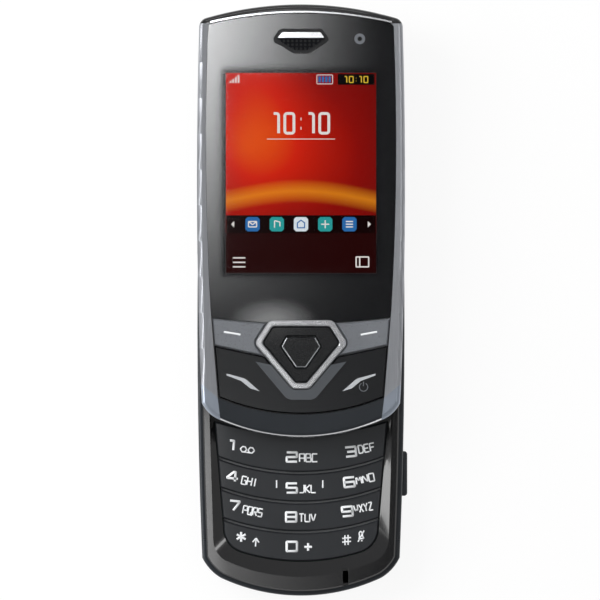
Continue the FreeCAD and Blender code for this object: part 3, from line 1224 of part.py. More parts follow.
call_zone_outline = sketch("call_zone_outline", [
    ("start", "zone_half", f"{SLIDER_BOTTOM} - 5"),
    ("line", "zone_half", f"{SLIDER_BOTTOM} + soft_side_rise - key_gap"),
    ("line", "0", f"{SLIDER_BOTTOM} + soft_middle_rise - key_gap"),
    ("line", "-zone_half", f"{SLIDER_BOTTOM} + soft_side_rise - key_gap"),
    ("line", "-zone_half", f"{SLIDER_BOTTOM} - 5"),
    ("line", "zone_half", f"{SLIDER_BOTTOM} - 5")])
call_zone = slab("call_zone", call_zone_outline, "0", f"{FUNCTION_TOP} - plate_drop")
call_raw = cut("call_raw", common("call_block", moving_face, call_zone), ring_room)
call_body = softened("Part::Chamfer", "call_body", call_raw, "function_bevel",
                     level(f"{FUNCTION_TOP} - plate_drop"))
band_zone_outline = sketch("band_zone_outline", [
    ("start", "zone_half", f"{SLIDER_BOTTOM} - 5"),
    ("line", "zone_half", f"{SLIDER_BOTTOM} + soft_side_rise - key_gap - 1.5"),
    ("line", "0", f"{SLIDER_BOTTOM} + soft_middle_rise - key_gap - 1.5"),
    ("line", "-zone_half", f"{SLIDER_BOTTOM} + soft_side_rise - key_gap - 1.5"),
    ("line", "-zone_half", f"{SLIDER_BOTTOM} - 5"),
    ("line", "zone_half", f"{SLIDER_BOTTOM} - 5")])
band_outer = slab("band_outer", offset("band_outline", ring_outline, "band_width"), FUNCTION_LOW,
                  f"{FUNCTION_TOP} - plate_drop + band_height")
band_face = slab("band_face", offset("band_face_outline", face_outline, "-key_gap - function_bevel - 0.2"), "0",
                 f"{RAIL_TOP} + 1")
band_zone = slab("band_zone", band_zone_outline, "0", f"{RAIL_TOP} + 1")
band = cut("band", common("band_raw", band_outer, band_zone, band_face), ring_room)
keep("call_end_plate", fuse("call_end_body", call_body, band))

centre_outline = sketch("centre_outline", symmetric(
    [("start", "centre_bottom_half", f"{SLIDER_BOTTOM} + centre_bottom_rise"),
     ("line", "centre_side_half", f"{SLIDER_BOTTOM} + centre_side_rise"),
     ("line", "centre_top_half", f"{SLIDER_BOTTOM} + centre_top_rise")]))
centre_raw = slab("centre_raw", centre_outline, FUNCTION_LOW, f"{FUNCTION_TOP} + centre_proud")
keep("centre_key", softened("Part::Chamfer", "centre_key_body", centre_raw, "rocker_bevel",
                            level(f"{FUNCTION_TOP} + centre_proud")))
ROCKER_LOW = f"({FUNCTION_LOW} + rocker_lift)"
rocker_outer = softened("Part::Fillet", "rocker_outer",
                        slab("rocker_slab", offset("rocker_outline", ring_outline, "-ring_width - key_gap"),
                             ROCKER_LOW, FUNCTION_TOP), "ring_corner - ring_width / 2", upright)
rocker_hole = slab("rocker_hole", offset("rocker_hole_outline", centre_outline, "key_gap"), "0",
                   f"{RAIL_TOP} + 1")
keep("nav_rocker", softened("Part::Chamfer", "nav_rocker_body", cut("rocker_raw", rocker_outer, rocker_hole),
                            "rocker_bevel", level(FUNCTION_TOP)))
PIVOT_Z = (f"{PAD_TOP} + pivot_clearance", f"{PAD_TOP} + pivot_clearance + pivot_thickness")
pivot_slab = slab("pivot_slab", offset("pivot_outline", ring_outline, "-ring_width - 2 * key_gap"), *PIVOT_Z)
pivot_outer = softened("Part::Fillet", "pivot_outer", pivot_slab, "ring_corner - ring_width / 2", upright)
pivot_inner = slab("pivot_inner", offset("pivot_inner_outline", centre_outline, "pivot_gap"), "0",
                   f"{RAIL_TOP} + 1")
keep("nav_pivot", cut("pivot", pivot_outer, pivot_inner))

# Function pad with its plungers, dome sheet and board

pad_face = slab("pad_face", offset("pad_outline", face_outline, "-fit"), PAD_LOW, PAD_TOP)
pad_zone = cut("pad_zone", pad_face, window_zone)
FUNCTION_BOARD_LOW = f"({FLOOR_TOP} + function_board_rise)"
FUNCTION_BOARD_TOP = f"({FUNCTION_BOARD_LOW} + function_board_thickness)"
FUNCTION_DOMES = f"({FUNCTION_BOARD_TOP} + dome_sheet_thickness)"
plungers = [rod(f"plunger_{name}", x, y, (f"{FUNCTION_DOMES} + dome_height + plunger_gap", PAD_LOW), "plunger_radius")
            for name, x, y in PRESS_SPOTS]
keep("function_pad", fuse("pad", pad_zone, *plungers))
FUNCTION_BOARD_X = (negative(inward("function_board_inset")), inward("function_board_inset"))
keep("function_board", block("function_board_body", FUNCTION_BOARD_X, FUNCTION_BOARD_Y,
                             (FUNCTION_BOARD_LOW, FUNCTION_BOARD_TOP)))
function_domes = [dome(f"function_dome_{name}", x, y, FUNCTION_DOMES) for name, x, y in PRESS_SPOTS
                  if name not in ("nav_up", "nav_down", "nav_left", "nav_right")]
function_film = block("function_film", FUNCTION_BOARD_X, FUNCTION_BOARD_Y, (FUNCTION_BOARD_TOP, FUNCTION_DOMES))
keep("function_dome_sheet", fuse("function_dome_body", function_film, *function_domes))

print("function keys")

# Check every object, then write one file for each piece

doc.recompute()
failed = [item.Name for item in doc.Objects if "Invalid" in item.State or "Error" in item.State]
if failed:
    raise RuntimeError(f"failed objects: {failed}")
for node, piece in pieces.items():
    shape = piece.Shape
    if shape.isNull() or not shape.isValid() or not shape.Solids:
        raise RuntimeError(f"{node} has no valid solid")
os.makedirs("parts", exist_ok=True)
for node, piece in pieces.items():
    piece.Shape.exportStep(f"parts/{node}.step")
print(len(pieces), "pieces written")
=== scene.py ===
import bpy
import bmesh
import math
from mathutils import Matrix, Vector


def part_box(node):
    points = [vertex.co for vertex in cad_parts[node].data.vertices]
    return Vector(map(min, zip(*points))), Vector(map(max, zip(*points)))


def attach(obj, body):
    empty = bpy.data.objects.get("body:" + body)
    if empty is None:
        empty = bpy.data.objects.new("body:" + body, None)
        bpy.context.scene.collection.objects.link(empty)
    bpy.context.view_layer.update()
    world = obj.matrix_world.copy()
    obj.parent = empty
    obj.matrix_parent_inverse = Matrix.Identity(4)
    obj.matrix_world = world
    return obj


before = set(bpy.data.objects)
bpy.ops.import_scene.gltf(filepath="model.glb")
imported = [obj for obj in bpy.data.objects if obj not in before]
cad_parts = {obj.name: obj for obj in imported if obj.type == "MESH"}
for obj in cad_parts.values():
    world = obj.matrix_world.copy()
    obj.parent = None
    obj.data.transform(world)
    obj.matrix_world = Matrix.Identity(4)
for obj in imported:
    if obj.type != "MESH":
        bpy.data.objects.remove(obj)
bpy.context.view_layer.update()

mm = 0.001


# Colours and nodes

def linear(code):
    channels = [int(code[i:i + 2], 16) / 255 for i in (1, 3, 5)]
    return tuple(c / 12.92 if c <= 0.04045 else ((c + 0.055) / 1.055) ** 2.4 for c in channels) + (1.0,)


def scaled(colour, factor):
    return tuple(min(1.0, c * factor) for c in colour[:3]) + (1.0,)


def addNode(tree, kind, inputs=None, ramp=None, **settings):
    node = tree.nodes.new(kind)
    for name, setting in settings.items():
        setattr(node, name, setting)
    for socket, source in (inputs or {}).items():
        if isinstance(source, bpy.types.NodeSocket):
            tree.links.new(source, node.inputs[socket])
        else:
            node.inputs[socket].default_value = source
    if ramp:
        stops = node.color_ramp.elements
        while len(stops) < len(ramp):
            stops.new(0.5)
        for stop, (place, colour) in zip(stops, ramp):
            stop.position, stop.color = place, colour
    return node


def newMaterial(name):
    material = bpy.data.materials.new(name)
    material.use_nodes = True
    tree = material.node_tree
    tree.nodes.clear()
    coords = addNode(tree, "ShaderNodeTexCoord")
    return material, tree, coords.outputs["Object"]


def finishMaterial(material, tree, shader):
    out = addNode(tree, "ShaderNodeOutputMaterial")
    tree.links.new(shader, out.inputs["Surface"])
    return material


# grain: shares of the roughness between which it swings, and how strongly it shows as relief
mouldedGrain = {"cloudMm": 9.0, "smooth": 0.85, "coarse": 1.2, "relief": 0.6, "coatRoughness": 0.04}
drawnGrain = {"smooth": 0.8, "coarse": 1.3, "relief": 0.4}
sprayedGrain = {"grainMm": 0.2, "smooth": 0.9, "coarse": 1.15}


def moulded(name, colour, roughness, grainMm, grainDepthMm, mottle=0.15, metallic=0.0, coat=0.0,
            specular=0.5):
    # the grain is drawn a little coarser than a real mould's, so that it shows
    material, tree, coords = newMaterial(name)
    grain = addNode(tree, "ShaderNodeTexNoise", {
        "Vector": coords, "Scale": 1 / (grainMm * mm), "Detail": 3.0})
    cloud = addNode(tree, "ShaderNodeTexNoise", {
        "Vector": coords, "Scale": 1 / (mouldedGrain["cloudMm"] * mm), "Detail": 4.0})
    base = linear(colour)
    tint = addNode(tree, "ShaderNodeValToRGB", {"Fac": cloud.outputs["Fac"]},
                   ramp=[(0.35, scaled(base, 1 - mottle)), (0.65, scaled(base, 1 + mottle))])
    rough = addNode(tree, "ShaderNodeMapRange", {
        "Value": grain.outputs["Fac"], "To Min": roughness * mouldedGrain["smooth"],
        "To Max": min(1.0, roughness * mouldedGrain["coarse"])})
    bump = addNode(tree, "ShaderNodeBump", {
        "Height": grain.outputs["Fac"], "Distance": grainDepthMm * mm, "Strength": mouldedGrain["relief"]})
    shader = addNode(tree, "ShaderNodeBsdfPrincipled", {
        "Base Color": tint.outputs["Color"], "Roughness": rough.outputs["Result"],
        "Normal": bump.outputs["Normal"], "Metallic": metallic, "Coat Weight": coat,
        "Coat Roughness": mouldedGrain["coatRoughness"], "Specular IOR Level": specular})
    return finishMaterial(material, tree, shader.outputs["BSDF"])


def drawnMetal(name, colour, roughness, lineMm, along=(1.0, 0.02, 1.0), contrast=0.05, reliefMm=0.0006):
    # fine lines, stretched along the way that the metal was drawn
    material, tree, coords = newMaterial(name)
    stretch = addNode(tree, "ShaderNodeMapping", {"Vector": coords, "Scale": along})
    lines = addNode(tree, "ShaderNodeTexNoise", {
        "Vector": stretch.outputs["Vector"], "Scale": 1 / (lineMm * mm), "Detail": 2.0})
    base = linear(colour)
    tint = addNode(tree, "ShaderNodeValToRGB", {"Fac": lines.outputs["Fac"]},
                   ramp=[(0.3, scaled(base, 1 - contrast)), (0.7, scaled(base, 1 + contrast))])
    rough = addNode(tree, "ShaderNodeMapRange", {
        "Value": lines.outputs["Fac"], "To Min": roughness * drawnGrain["smooth"],
        "To Max": roughness * drawnGrain["coarse"]})
    bump = addNode(tree, "ShaderNodeBump", {
        "Height": lines.outputs["Fac"], "Distance": reliefMm * mm, "Strength": drawnGrain["relief"]})
    shader = addNode(tree, "ShaderNodeBsdfPrincipled", {
        "Base Color": tint.outputs["Color"], "Roughness": rough.outputs["Result"],
        "Normal": bump.outputs["Normal"], "Metallic": 1.0})
    return finishMaterial(material, tree, shader.outputs["BSDF"])


def platedEdge(name, node, dropMm, lineMm):
    # black lacquered trim whose lower edge is left as bright plate, along the arc of the piece
    material, tree, coords = newMaterial(name)
    low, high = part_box(node)
    half, top, side = high.x, high.y - dropMm * mm, low.y
    rise = top - side
    radius = (half * half + rise * rise) / (2 * rise)
    flat = addNode(tree, "ShaderNodeVectorMath", {0: coords, 1: (1, 1, 0)}, operation="MULTIPLY")
    away = addNode(tree, "ShaderNodeVectorMath", {0: flat.outputs["Vector"], 1: (0, top - radius, 0)},
                   operation="DISTANCE")
    black = addNode(tree, "ShaderNodeMath", {0: away.outputs["Value"], 1: radius + lineMm * mm},
                    operation="GREATER_THAN")
    tint = addNode(tree, "ShaderNodeMix", {
        0: black.outputs["Value"], 6: linear("#E2E3E6"), 7: linear("#0C0C0E")}, data_type="RGBA")
    metal = addNode(tree, "ShaderNodeMath", {0: 1.0, 1: black.outputs["Value"]}, operation="SUBTRACT")
    shader = addNode(tree, "ShaderNodeBsdfPrincipled", {
        "Base Color": tint.outputs[2], "Roughness": 0.12, "Metallic": metal.outputs["Value"]})
    return finishMaterial(material, tree, shader.outputs["BSDF"])


def raisedSheenTint(name, low, high, startMm, endMm, roughness):
    # lacquer with a lighter grey painted on what stands higher: a painted sheen where the raised parts catch
    # the light
    material, tree, coords = newMaterial(name)
    parts = addNode(tree, "ShaderNodeSeparateXYZ", {"Vector": coords})
    grain = addNode(tree, "ShaderNodeTexNoise", {
        "Vector": coords, "Scale": 1 / (sprayedGrain["grainMm"] * mm), "Detail": 2.0})
    # the higher the lacquer stands, the lighter its colour: painted sheen
    rise = addNode(tree, "ShaderNodeMapRange", {
        "Value": parts.outputs["Z"], "From Min": startMm * mm, "From Max": endMm * mm})
    tint = addNode(tree, "ShaderNodeMix", {0: rise.outputs["Result"], 6: linear(low), 7: linear(high)},
                   data_type="RGBA")
    rough = addNode(tree, "ShaderNodeMapRange", {
        "Value": grain.outputs["Fac"], "To Min": roughness * sprayedGrain["smooth"],
        "To Max": roughness * sprayedGrain["coarse"]})
    shader = addNode(tree, "ShaderNodeBsdfPrincipled", {
        "Base Color": tint.outputs[2], "Roughness": rough.outputs["Result"], "Metallic": 0.1,
        "Coat Weight": 0.15, "Coat Roughness": 0.05, "Specular IOR Level": 0.35})
    return finishMaterial(material, tree, shader.outputs["BSDF"])


def clearAcrylic():
    # hard-coated clear PMMA: a mirror-flat front, black film and display show through
    material, tree, coords = newMaterial("clearAcrylicWindow")
    haze = addNode(tree, "ShaderNodeTexNoise", {"Vector": coords, "Scale": 1 / (30 * mm), "Detail": 1.0})
    rough = addNode(tree, "ShaderNodeMapRange", {
        "Value": haze.outputs["Fac"], "To Min": 0.01, "To Max": 0.03})
    shader = addNode(tree, "ShaderNodeBsdfPrincipled", {
        "Base Color": linear("#F4F6F8"), "Roughness": rough.outputs["Result"], "IOR": 1.49,
        "Transmission Weight": 1.0})
    # lamps reach what lies under the window
    through = addNode(tree, "ShaderNodeBsdfTransparent", {"Color": (0.9, 0.9, 0.9, 1)})
    path = addNode(tree, "ShaderNodeLightPath")
    either = addNode(tree, "ShaderNodeMixShader", {
        0: path.outputs["Is Shadow Ray"], 1: shader.outputs["BSDF"], 2: through.outputs["BSDF"]})
    return finishMaterial(material, tree, either.outputs["Shader"])


# An abstract dusk of the designer's own: an ember at the left, an amber arc, a dark bar along the foot.
# Places and sizes are shares of the display.
wallpaper = {"glow": 1.0, "emberAt": (0.12, 0.62, 0), "emberReach": 1.05, "emberFaint": 0.05,
             "swellScale": 1.3, "lift": 0.12, "arcTurn": 3.2, "arcRise": 0.05, "arcAt": 0.36,
             "arcHalf": 0.06, "arcShare": 0.55, "arcColour": "#FFA21E", "barTop": 0.2,
             "barColour": "#240202",
             "ramp": [(0.0, "#2A0303"), (0.3, "#8E0A05"), (0.55, "#D41E04"), (0.78, "#F2600A"),
                      (1.0, "#FF9A1C")]}


def litDisplay():
    # liquid crystal display, lit from behind: deep colours that glow evenly and mirror nothing
    material, tree, coords = newMaterial("litDisplay")
    low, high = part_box("display_screen")
    size = high - low
    unit = addNode(tree, "ShaderNodeMapping", {
        "Vector": coords, "Location": (-low.x / size.x, -low.y / size.y, 0),
        "Scale": (1 / size.x, 1 / size.y, 1)})
    parts = addNode(tree, "ShaderNodeSeparateXYZ", {"Vector": unit.outputs["Vector"]})
    swell = addNode(tree, "ShaderNodeTexNoise", {
        "Vector": unit.outputs["Vector"], "Scale": wallpaper["swellScale"], "Detail": 0.0})
    ember = addNode(tree, "ShaderNodeVectorMath", {0: unit.outputs["Vector"], 1: wallpaper["emberAt"]},
                    operation="DISTANCE")
    reach = addNode(tree, "ShaderNodeMapRange", {
        "Value": ember.outputs["Value"], "From Min": 0.0, "From Max": wallpaper["emberReach"],
        "To Min": 1.0, "To Max": wallpaper["emberFaint"]})
    mixed = addNode(tree, "ShaderNodeMath", {
        0: reach.outputs["Result"], 1: swell.outputs["Fac"], 2: wallpaper["lift"]},
        operation="MULTIPLY_ADD")
    dusk = addNode(tree, "ShaderNodeValToRGB", {"Fac": mixed.outputs["Value"]},
                   ramp=[(place, linear(colour)) for place, colour in wallpaper["ramp"]])
    bend = addNode(tree, "ShaderNodeMath", {0: parts.outputs["X"], 1: wallpaper["arcTurn"]},
                   operation="MULTIPLY")
    sine = addNode(tree, "ShaderNodeMath", {0: bend.outputs["Value"]}, operation="SINE")
    curve = addNode(tree, "ShaderNodeMath", {
        0: sine.outputs["Value"], 1: wallpaper["arcRise"], 2: wallpaper["arcAt"]}, operation="MULTIPLY_ADD")
    gap = addNode(tree, "ShaderNodeMath", {0: parts.outputs["Y"], 1: curve.outputs["Value"]},
                  operation="SUBTRACT")
    away = addNode(tree, "ShaderNodeMath", {0: gap.outputs["Value"]}, operation="ABSOLUTE")
    arc = addNode(tree, "ShaderNodeMapRange", {
        "Value": away.outputs["Value"], "From Min": 0.0, "From Max": wallpaper["arcHalf"],
        "To Min": wallpaper["arcShare"], "To Max": 0.0})
    glow = addNode(tree, "ShaderNodeMix", {
        0: arc.outputs["Result"], 6: dusk.outputs["Color"], 7: linear(wallpaper["arcColour"])},
        data_type="RGBA")
    bar = addNode(tree, "ShaderNodeMath", {0: parts.outputs["Y"], 1: wallpaper["barTop"]},
                  operation="LESS_THAN")
    foot = addNode(tree, "ShaderNodeMix", {
        0: bar.outputs["Value"], 6: glow.outputs[2], 7: linear(wallpaper["barColour"])}, data_type="RGBA")
    shader = addNode(tree, "ShaderNodeBsdfPrincipled", {
        "Base Color": linear("#050505"), "Roughness": 0.15, "Emission Color": foot.outputs[2],
        "Emission Strength": wallpaper["glow"], "Specular IOR Level": 0.0})
    return finishMaterial(material, tree, shader.outputs["BSDF"])


def shining(name, colour):
    # a lit patch of the display, with a faint unevenness
    material, tree, coords = newMaterial(name)
    shimmer = addNode(tree, "ShaderNodeTexNoise", {
        "Vector": coords, "Scale": 1 / (0.4 * mm), "Detail": 0.0})
    base = linear(colour)
    tint = addNode(tree, "ShaderNodeValToRGB", {"Fac": shimmer.outputs["Fac"]},
                   ramp=[(0.0, scaled(base, 0.85)), (1.0, base)])
    shader = addNode(tree, "ShaderNodeBsdfPrincipled", {
        "Base Color": linear("#020202"), "Roughness": 0.6, "Emission Color": tint.outputs["Color"],
        "Emission Strength": 1.0, "Specular IOR Level": 0.0})
    return finishMaterial(material, tree, shader.outputs["BSDF"])


def smallLens(name, centre, ringMm, pupilMm):
    # coated lens in a grey barrel: a dark pupil inside a pale ring
    material, tree, coords = newMaterial(name)
    flat = addNode(tree, "ShaderNodeVectorMath", {0: coords, 1: (1, 1, 0)}, operation="MULTIPLY")
    away = addNode(tree, "ShaderNodeVectorMath", {0: flat.outputs["Vector"], 1: (centre.x, centre.y, 0)},
                   operation="DISTANCE")
    rings = addNode(tree, "ShaderNodeMapRange", {
        "Value": away.outputs["Value"], "From Min": 0.0, "From Max": ringMm * mm})
    pupil = pupilMm / ringMm
    shade = addNode(tree, "ShaderNodeValToRGB", {"Fac": rings.outputs["Result"]},
                    ramp=[(pupil, linear("#06070A")), (min(1.0, pupil + 0.18), linear("#8C8F94"))])
    shader = addNode(tree, "ShaderNodeBsdfPrincipled", {
        "Base Color": shade.outputs["Color"], "Roughness": 0.22, "Coat Weight": 1.0, "Coat Roughness": 0.03})
    return finishMaterial(material, tree, shader.outputs["BSDF"])


print("materials")

finishes = {
    # high gloss ABS, as it comes from a polished mould: deep black with sharp reflections
    "glossAbs": (moulded("glossBlackAbs", "#0A0A0C", 0.12, 2.5, 0.0004, 0.1, coat=0.5),
                 ["base_front_housing", "slider_front_frame"]),
    # lacquered polycarbonate with a fine soft grain: dark slate, a broad dull sheen
    "slateLacquer": (moulded("slateLacquer", "#22262B", 0.38, 0.22, 0.004, 0.08, metallic=0.3),
                     ["base_rear_housing", "bottom_cap", "chin_strip", "camera_key", "volume_key"]),
    # the same lacquer over a coarser grain, for grip
    "coverLacquer": (moulded("coverLacquer", "#26292E", 0.46, 0.35, 0.014, 0.1, metallic=0.2),
                     ["battery_cover"]),
    # silver lacquer with a blue cast
    "blueGreyLacquer": (moulded("blueGreyLacquer", "#98A0AC", 0.3, 0.2, 0.002, 0.06, metallic=0.75),
                        ["chin_corner_right", "chin_corner_left"]),
    # painted and clear-coated polycarbonate key tops: graphite with a satin gleam
    "graphiteKeys": (moulded("graphiteKeys", "#292B2E", 0.32, 0.18, 0.0015, 0.05, metallic=0.3, coat=0.15),
                     ["key_row_1", "key_row_2", "key_row_3", "key_row_4"]),
    "graphiteFunction": (moulded("graphiteFunction", "#777A7F", 0.28, 0.18, 0.0015, 0.05, metallic=0.5,
                                 coat=0.2),
                         ["soft_key_right", "soft_key_left"]),
    "darkFunction": (moulded("darkFunction", "#121315", 0.26, 0.25, 0.0015, 0.06, metallic=0.3, coat=0.3),
                     ["centre_key", "nav_rocker"]),
    # black lacquer with a lighter band under the ring: a painted sheen where the raised band catches the
    # light
    "callPlate": (raisedSheenTint("callPlateLacquerPaintedSheen", "#050506", "#484B4F", 14.88, 15.06, 0.16),
                  ["call_end_plate"]),
    # drawn and brushed aluminium: fine lines along the phone, bright where it curves
    "brushedAluminium": (drawnMetal("brushedAluminium", "#A3A5AA", 0.38, 0.07, (1.0, 0.01, 1.0), 0.12),
                         ["side_rail_right", "side_rail_left"]),
    # nickel-chrome plate on ABS: a bright mirror with slightly softened edges
    "chromePlate": (drawnMetal("chromePlate", "#E2E3E6", 0.13, 2.0, (1, 1, 1), 0.01, 0.0),
                    ["nav_ring", "chin_line", "earpiece_blade", "camera_ring"]),
    # the band over the top edge: black above, a chrome line below
    "platedEdge": (platedEdge("platedEdge", "top_trim", 0.55, 0.33), ["top_trim"]),
    # what the display is seen through
    "clearAcrylic": (clearAcrylic(), ["display_window"]),
    # black ink on polyester film behind the window: swallows light
    "printedBlack": (moulded("printedBlackFilm", "#070709", 0.6, 0.6, 0.0, 0.1, specular=0.1),
                     ["window_mask"]),
    "litDisplay": (litDisplay(), ["display_screen"]),
    # stamped stainless steel: grey, with faint roll lines
    "stampedSteel": (drawnMetal("stampedSteel", "#A2A3A4", 0.33, 0.3),
                     ["shield_cans", "sim_holder", "vibration_motor", "data_socket", "side_switches",
                      "fixed_slide_plate", "moving_slide_plate", "nav_pivot"]),
    # steel screws and springs, chemically blackened: dull and dark
    "blackScrews": (drawnMetal("blackenedSteel", "#4A4B4D", 0.35, 0.2, (1, 1, 1)),
                    ["base_screws", "fixed_plate_screws", "moving_plate_screws", "slider_screws",
                     "slide_springs"]),
    # woven and blackened steel mesh
    "darkMesh": (drawnMetal("darkMesh", "#232427", 0.45, 0.15, (1, 1, 1)), ["earpiece_mesh"]),
    # glass-fibre board under solder resist: green with a slight gloss
    "solderResist": (moulded("solderResist", "#12452A", 0.32, 0.5, 0.006, 0.2),
                     ["main_board", "function_board"]),
    # translucent grey silicone rubber
    "greySilicone": (moulded("greySilicone", "#8B8D8F", 0.62, 0.6, 0.004, 0.08),
                     ["keypad_mat", "function_pad"]),
    # polyester film over steel domes
    "domeFilm": (moulded("domeFilm", "#B9B7A8", 0.28, 0.8, 0.004, 0.12, metallic=0.3),
                 ["key_dome_sheet", "function_dome_sheet"]),
    # printed vinyl wrap of the battery, left bare
    "batteryWrap": (moulded("batteryWrap", "#33363A", 0.42, 0.5, 0.004, 0.1),
                    ["battery", "battery_contacts"]),
    # polyimide flex: amber and glossy
    "amberFlex": (moulded("amberFlex", "#A35A12", 0.25, 1.2, 0.003, 0.15), ["slide_flex"]),
    # black ABS with a spark-eroded grain
    "grainedBlack": (moulded("grainedBlackAbs", "#17181A", 0.42, 0.3, 0.01, 0.1),
                     ["slider_rear_housing", "display_module", "microphone", "loudspeaker", "receiver",
                      "camera_module"]),
}


def dress(node, material):
    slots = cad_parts[node].data.materials
    slots.clear()
    slots.append(material)


for material, nodes in finishes.values():
    for node in nodes:
        dress(node, material)


def boxCentre(node):
    low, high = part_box(node)
    return (low + high) / 2


dress("front_camera", smallLens("frontLens", boxCentre("front_camera"), 1.2, 0.4))
dress("camera_window", smallLens("rearLens", boxCentre("camera_window"), 3.2, 1.3))

print("finishes")


# Printed legends: strokes on a unit cell, drawn as flat ribbons

glyphs = {
    "0": [[(0, 0), (1, 0), (1, 1), (0, 1), (0, 0)]],
    "1": [[(0.05, 1), (0.6, 1), (0.6, 0)]],
    "2": [[(0, 1), (1, 1), (1, 0.5), (0, 0.5), (0, 0), (1, 0)]],
    "3": [[(0, 1), (1, 1), (1, 0), (0, 0)], [(0.15, 0.5), (1, 0.5)]],
    "4": [[(0.78, 0), (0.78, 1), (0.6, 1), (0, 0.4), (0, 0.3), (1.05, 0.3)]],
    "5": [[(1, 1), (0, 1), (0, 0.52), (1, 0.52), (1, 0), (0, 0)]],
    "6": [[(1, 1), (0, 1), (0, 0), (1, 0), (1, 0.52), (0, 0.52)]],
    "7": [[(0, 1), (1, 1), (0.4, 0)]],
    "8": [[(0, 0), (1, 0), (1, 1), (0, 1), (0, 0)], [(0, 0.5), (1, 0.5)]],
    "9": [[(1, 0.48), (0, 0.48), (0, 1), (1, 1), (1, 0), (0, 0)]],
    "A": [[(0, 0), (0, 1), (1, 1), (1, 0)], [(0, 0.45), (1, 0.45)]],
    "B": [[(0, 0), (0, 1), (0.9, 1), (0.9, 0.5), (0, 0.5)], [(0, 0), (1, 0), (1, 0.5), (0.9, 0.5)]],
    "C": [[(1, 1), (0, 1), (0, 0), (1, 0)]],
    "D": [[(0, 0), (0, 1), (0.75, 1), (1, 0.75), (1, 0.25), (0.75, 0), (0, 0)]],
    "E": [[(1, 1), (0, 1), (0, 0), (1, 0)], [(0, 0.5), (0.85, 0.5)]],
    "F": [[(1, 1), (0, 1), (0, 0)], [(0, 0.5), (0.85, 0.5)]],
    "G": [[(1, 1), (0, 1), (0, 0), (1, 0), (1, 0.5), (0.5, 0.5)]],
    "H": [[(0, 0), (0, 1)], [(1, 0), (1, 1)], [(0, 0.5), (1, 0.5)]],
    "I": [[(0.5, 0), (0.5, 1)]],
    "J": [[(1, 1), (1, 0.2), (0.8, 0), (0, 0)]],
    "K": [[(0, 0), (0, 1)], [(1, 1), (0.1, 0.5), (1, 0)]],
    "L": [[(0, 1), (0, 0), (1, 0)]],
    "M": [[(0, 0), (0, 1), (0.5, 0.4), (1, 1), (1, 0)]],
    "N": [[(0, 0), (0, 1), (1, 0), (1, 1)]],
    "O": [[(0, 0), (1, 0), (1, 1), (0, 1), (0, 0)]],
    "P": [[(0, 0), (0, 1), (1, 1), (1, 0.45), (0, 0.45)]],
    "Q": [[(0, 0), (1, 0), (1, 1), (0, 1), (0, 0)], [(0.6, 0.3), (1.05, -0.1)]],
    "R": [[(0, 0), (0, 1), (1, 1), (1, 0.45), (0, 0.45)], [(0.4, 0.45), (1, 0)]],
    "S": [[(1, 1), (0, 1), (0, 0.5), (1, 0.5), (1, 0), (0, 0)]],
    "T": [[(0, 1), (1, 1)], [(0.5, 1), (0.5, 0)]],
    "U": [[(0, 1), (0, 0), (1, 0), (1, 1)]],
    "V": [[(0, 1), (0.5, 0), (1, 1)]],
    "W": [[(0, 1), (0.22, 0), (0.5, 0.65), (0.78, 0), (1, 1)]],
    "X": [[(0, 0), (1, 1)], [(0, 1), (1, 0)]],
    "Y": [[(0, 1), (0.5, 0.5), (1, 1)], [(0.5, 0.5), (0.5, 0)]],
    "Z": [[(0, 1), (1, 1), (0, 0), (1, 0)]],
    "*": [[(0.5, 0), (0.5, 1)], [(0.05, 0.25), (0.95, 0.75)], [(0.05, 0.75), (0.95, 0.25)]],
    "#": [[(0.3, 0), (0.4, 1)], [(0.65, 0), (0.75, 1)], [(0, 0.32), (1, 0.32)], [(0.05, 0.7), (1.05, 0.7)]],
    "+": [[(0.5, 0), (0.5, 1)], [(0, 0.5), (1, 0.5)]],
    "^": [[(0.5, 0), (0.5, 0.95)], [(0, 0.5), (0.5, 1), (1, 0.5)]],
    "@": [[(0.0, 0.5), (0.15, 0.85), (0.32, 0.85), (0.45, 0.5), (0.32, 0.15), (0.15, 0.15), (0.0, 0.5)],
          [(1.0, 0.5), (0.85, 0.85), (0.68, 0.85), (0.55, 0.5), (0.68, 0.15), (0.85, 0.15), (1.0, 0.5)],
          [(0.22, 0.15), (0.78, 0.15)]],
    "~": [[(0.15, 0.25), (0.3, 0.45), (0.3, 0.8), (0.5, 1), (0.7, 0.8), (0.7, 0.45), (0.85, 0.25),
           (0.15, 0.25)],
          [(0.4, 0.05), (0.6, 0.05)], [(0, 0), (1, 1)]],
    ":": [[(0.45, 0.25), (0.55, 0.25)], [(0.45, 0.72), (0.55, 0.72)]],
}


def layOut(text, left, baseline, height, width, tilt=0.0, gap=0.28):
    cell = width / (len(text) + gap * (len(text) - 1))
    turn = Matrix.Rotation(math.radians(tilt), 2)
    lines = []
    for number, letter in enumerate(text):
        for stroke in glyphs[letter]:
            line = []
            for x, y in stroke:
                spot = turn @ Vector(((x + number * (1 + gap)) * cell, y * height))
                line.append((left + spot.x, baseline + spot.y))
            lines.append(line)
    return lines


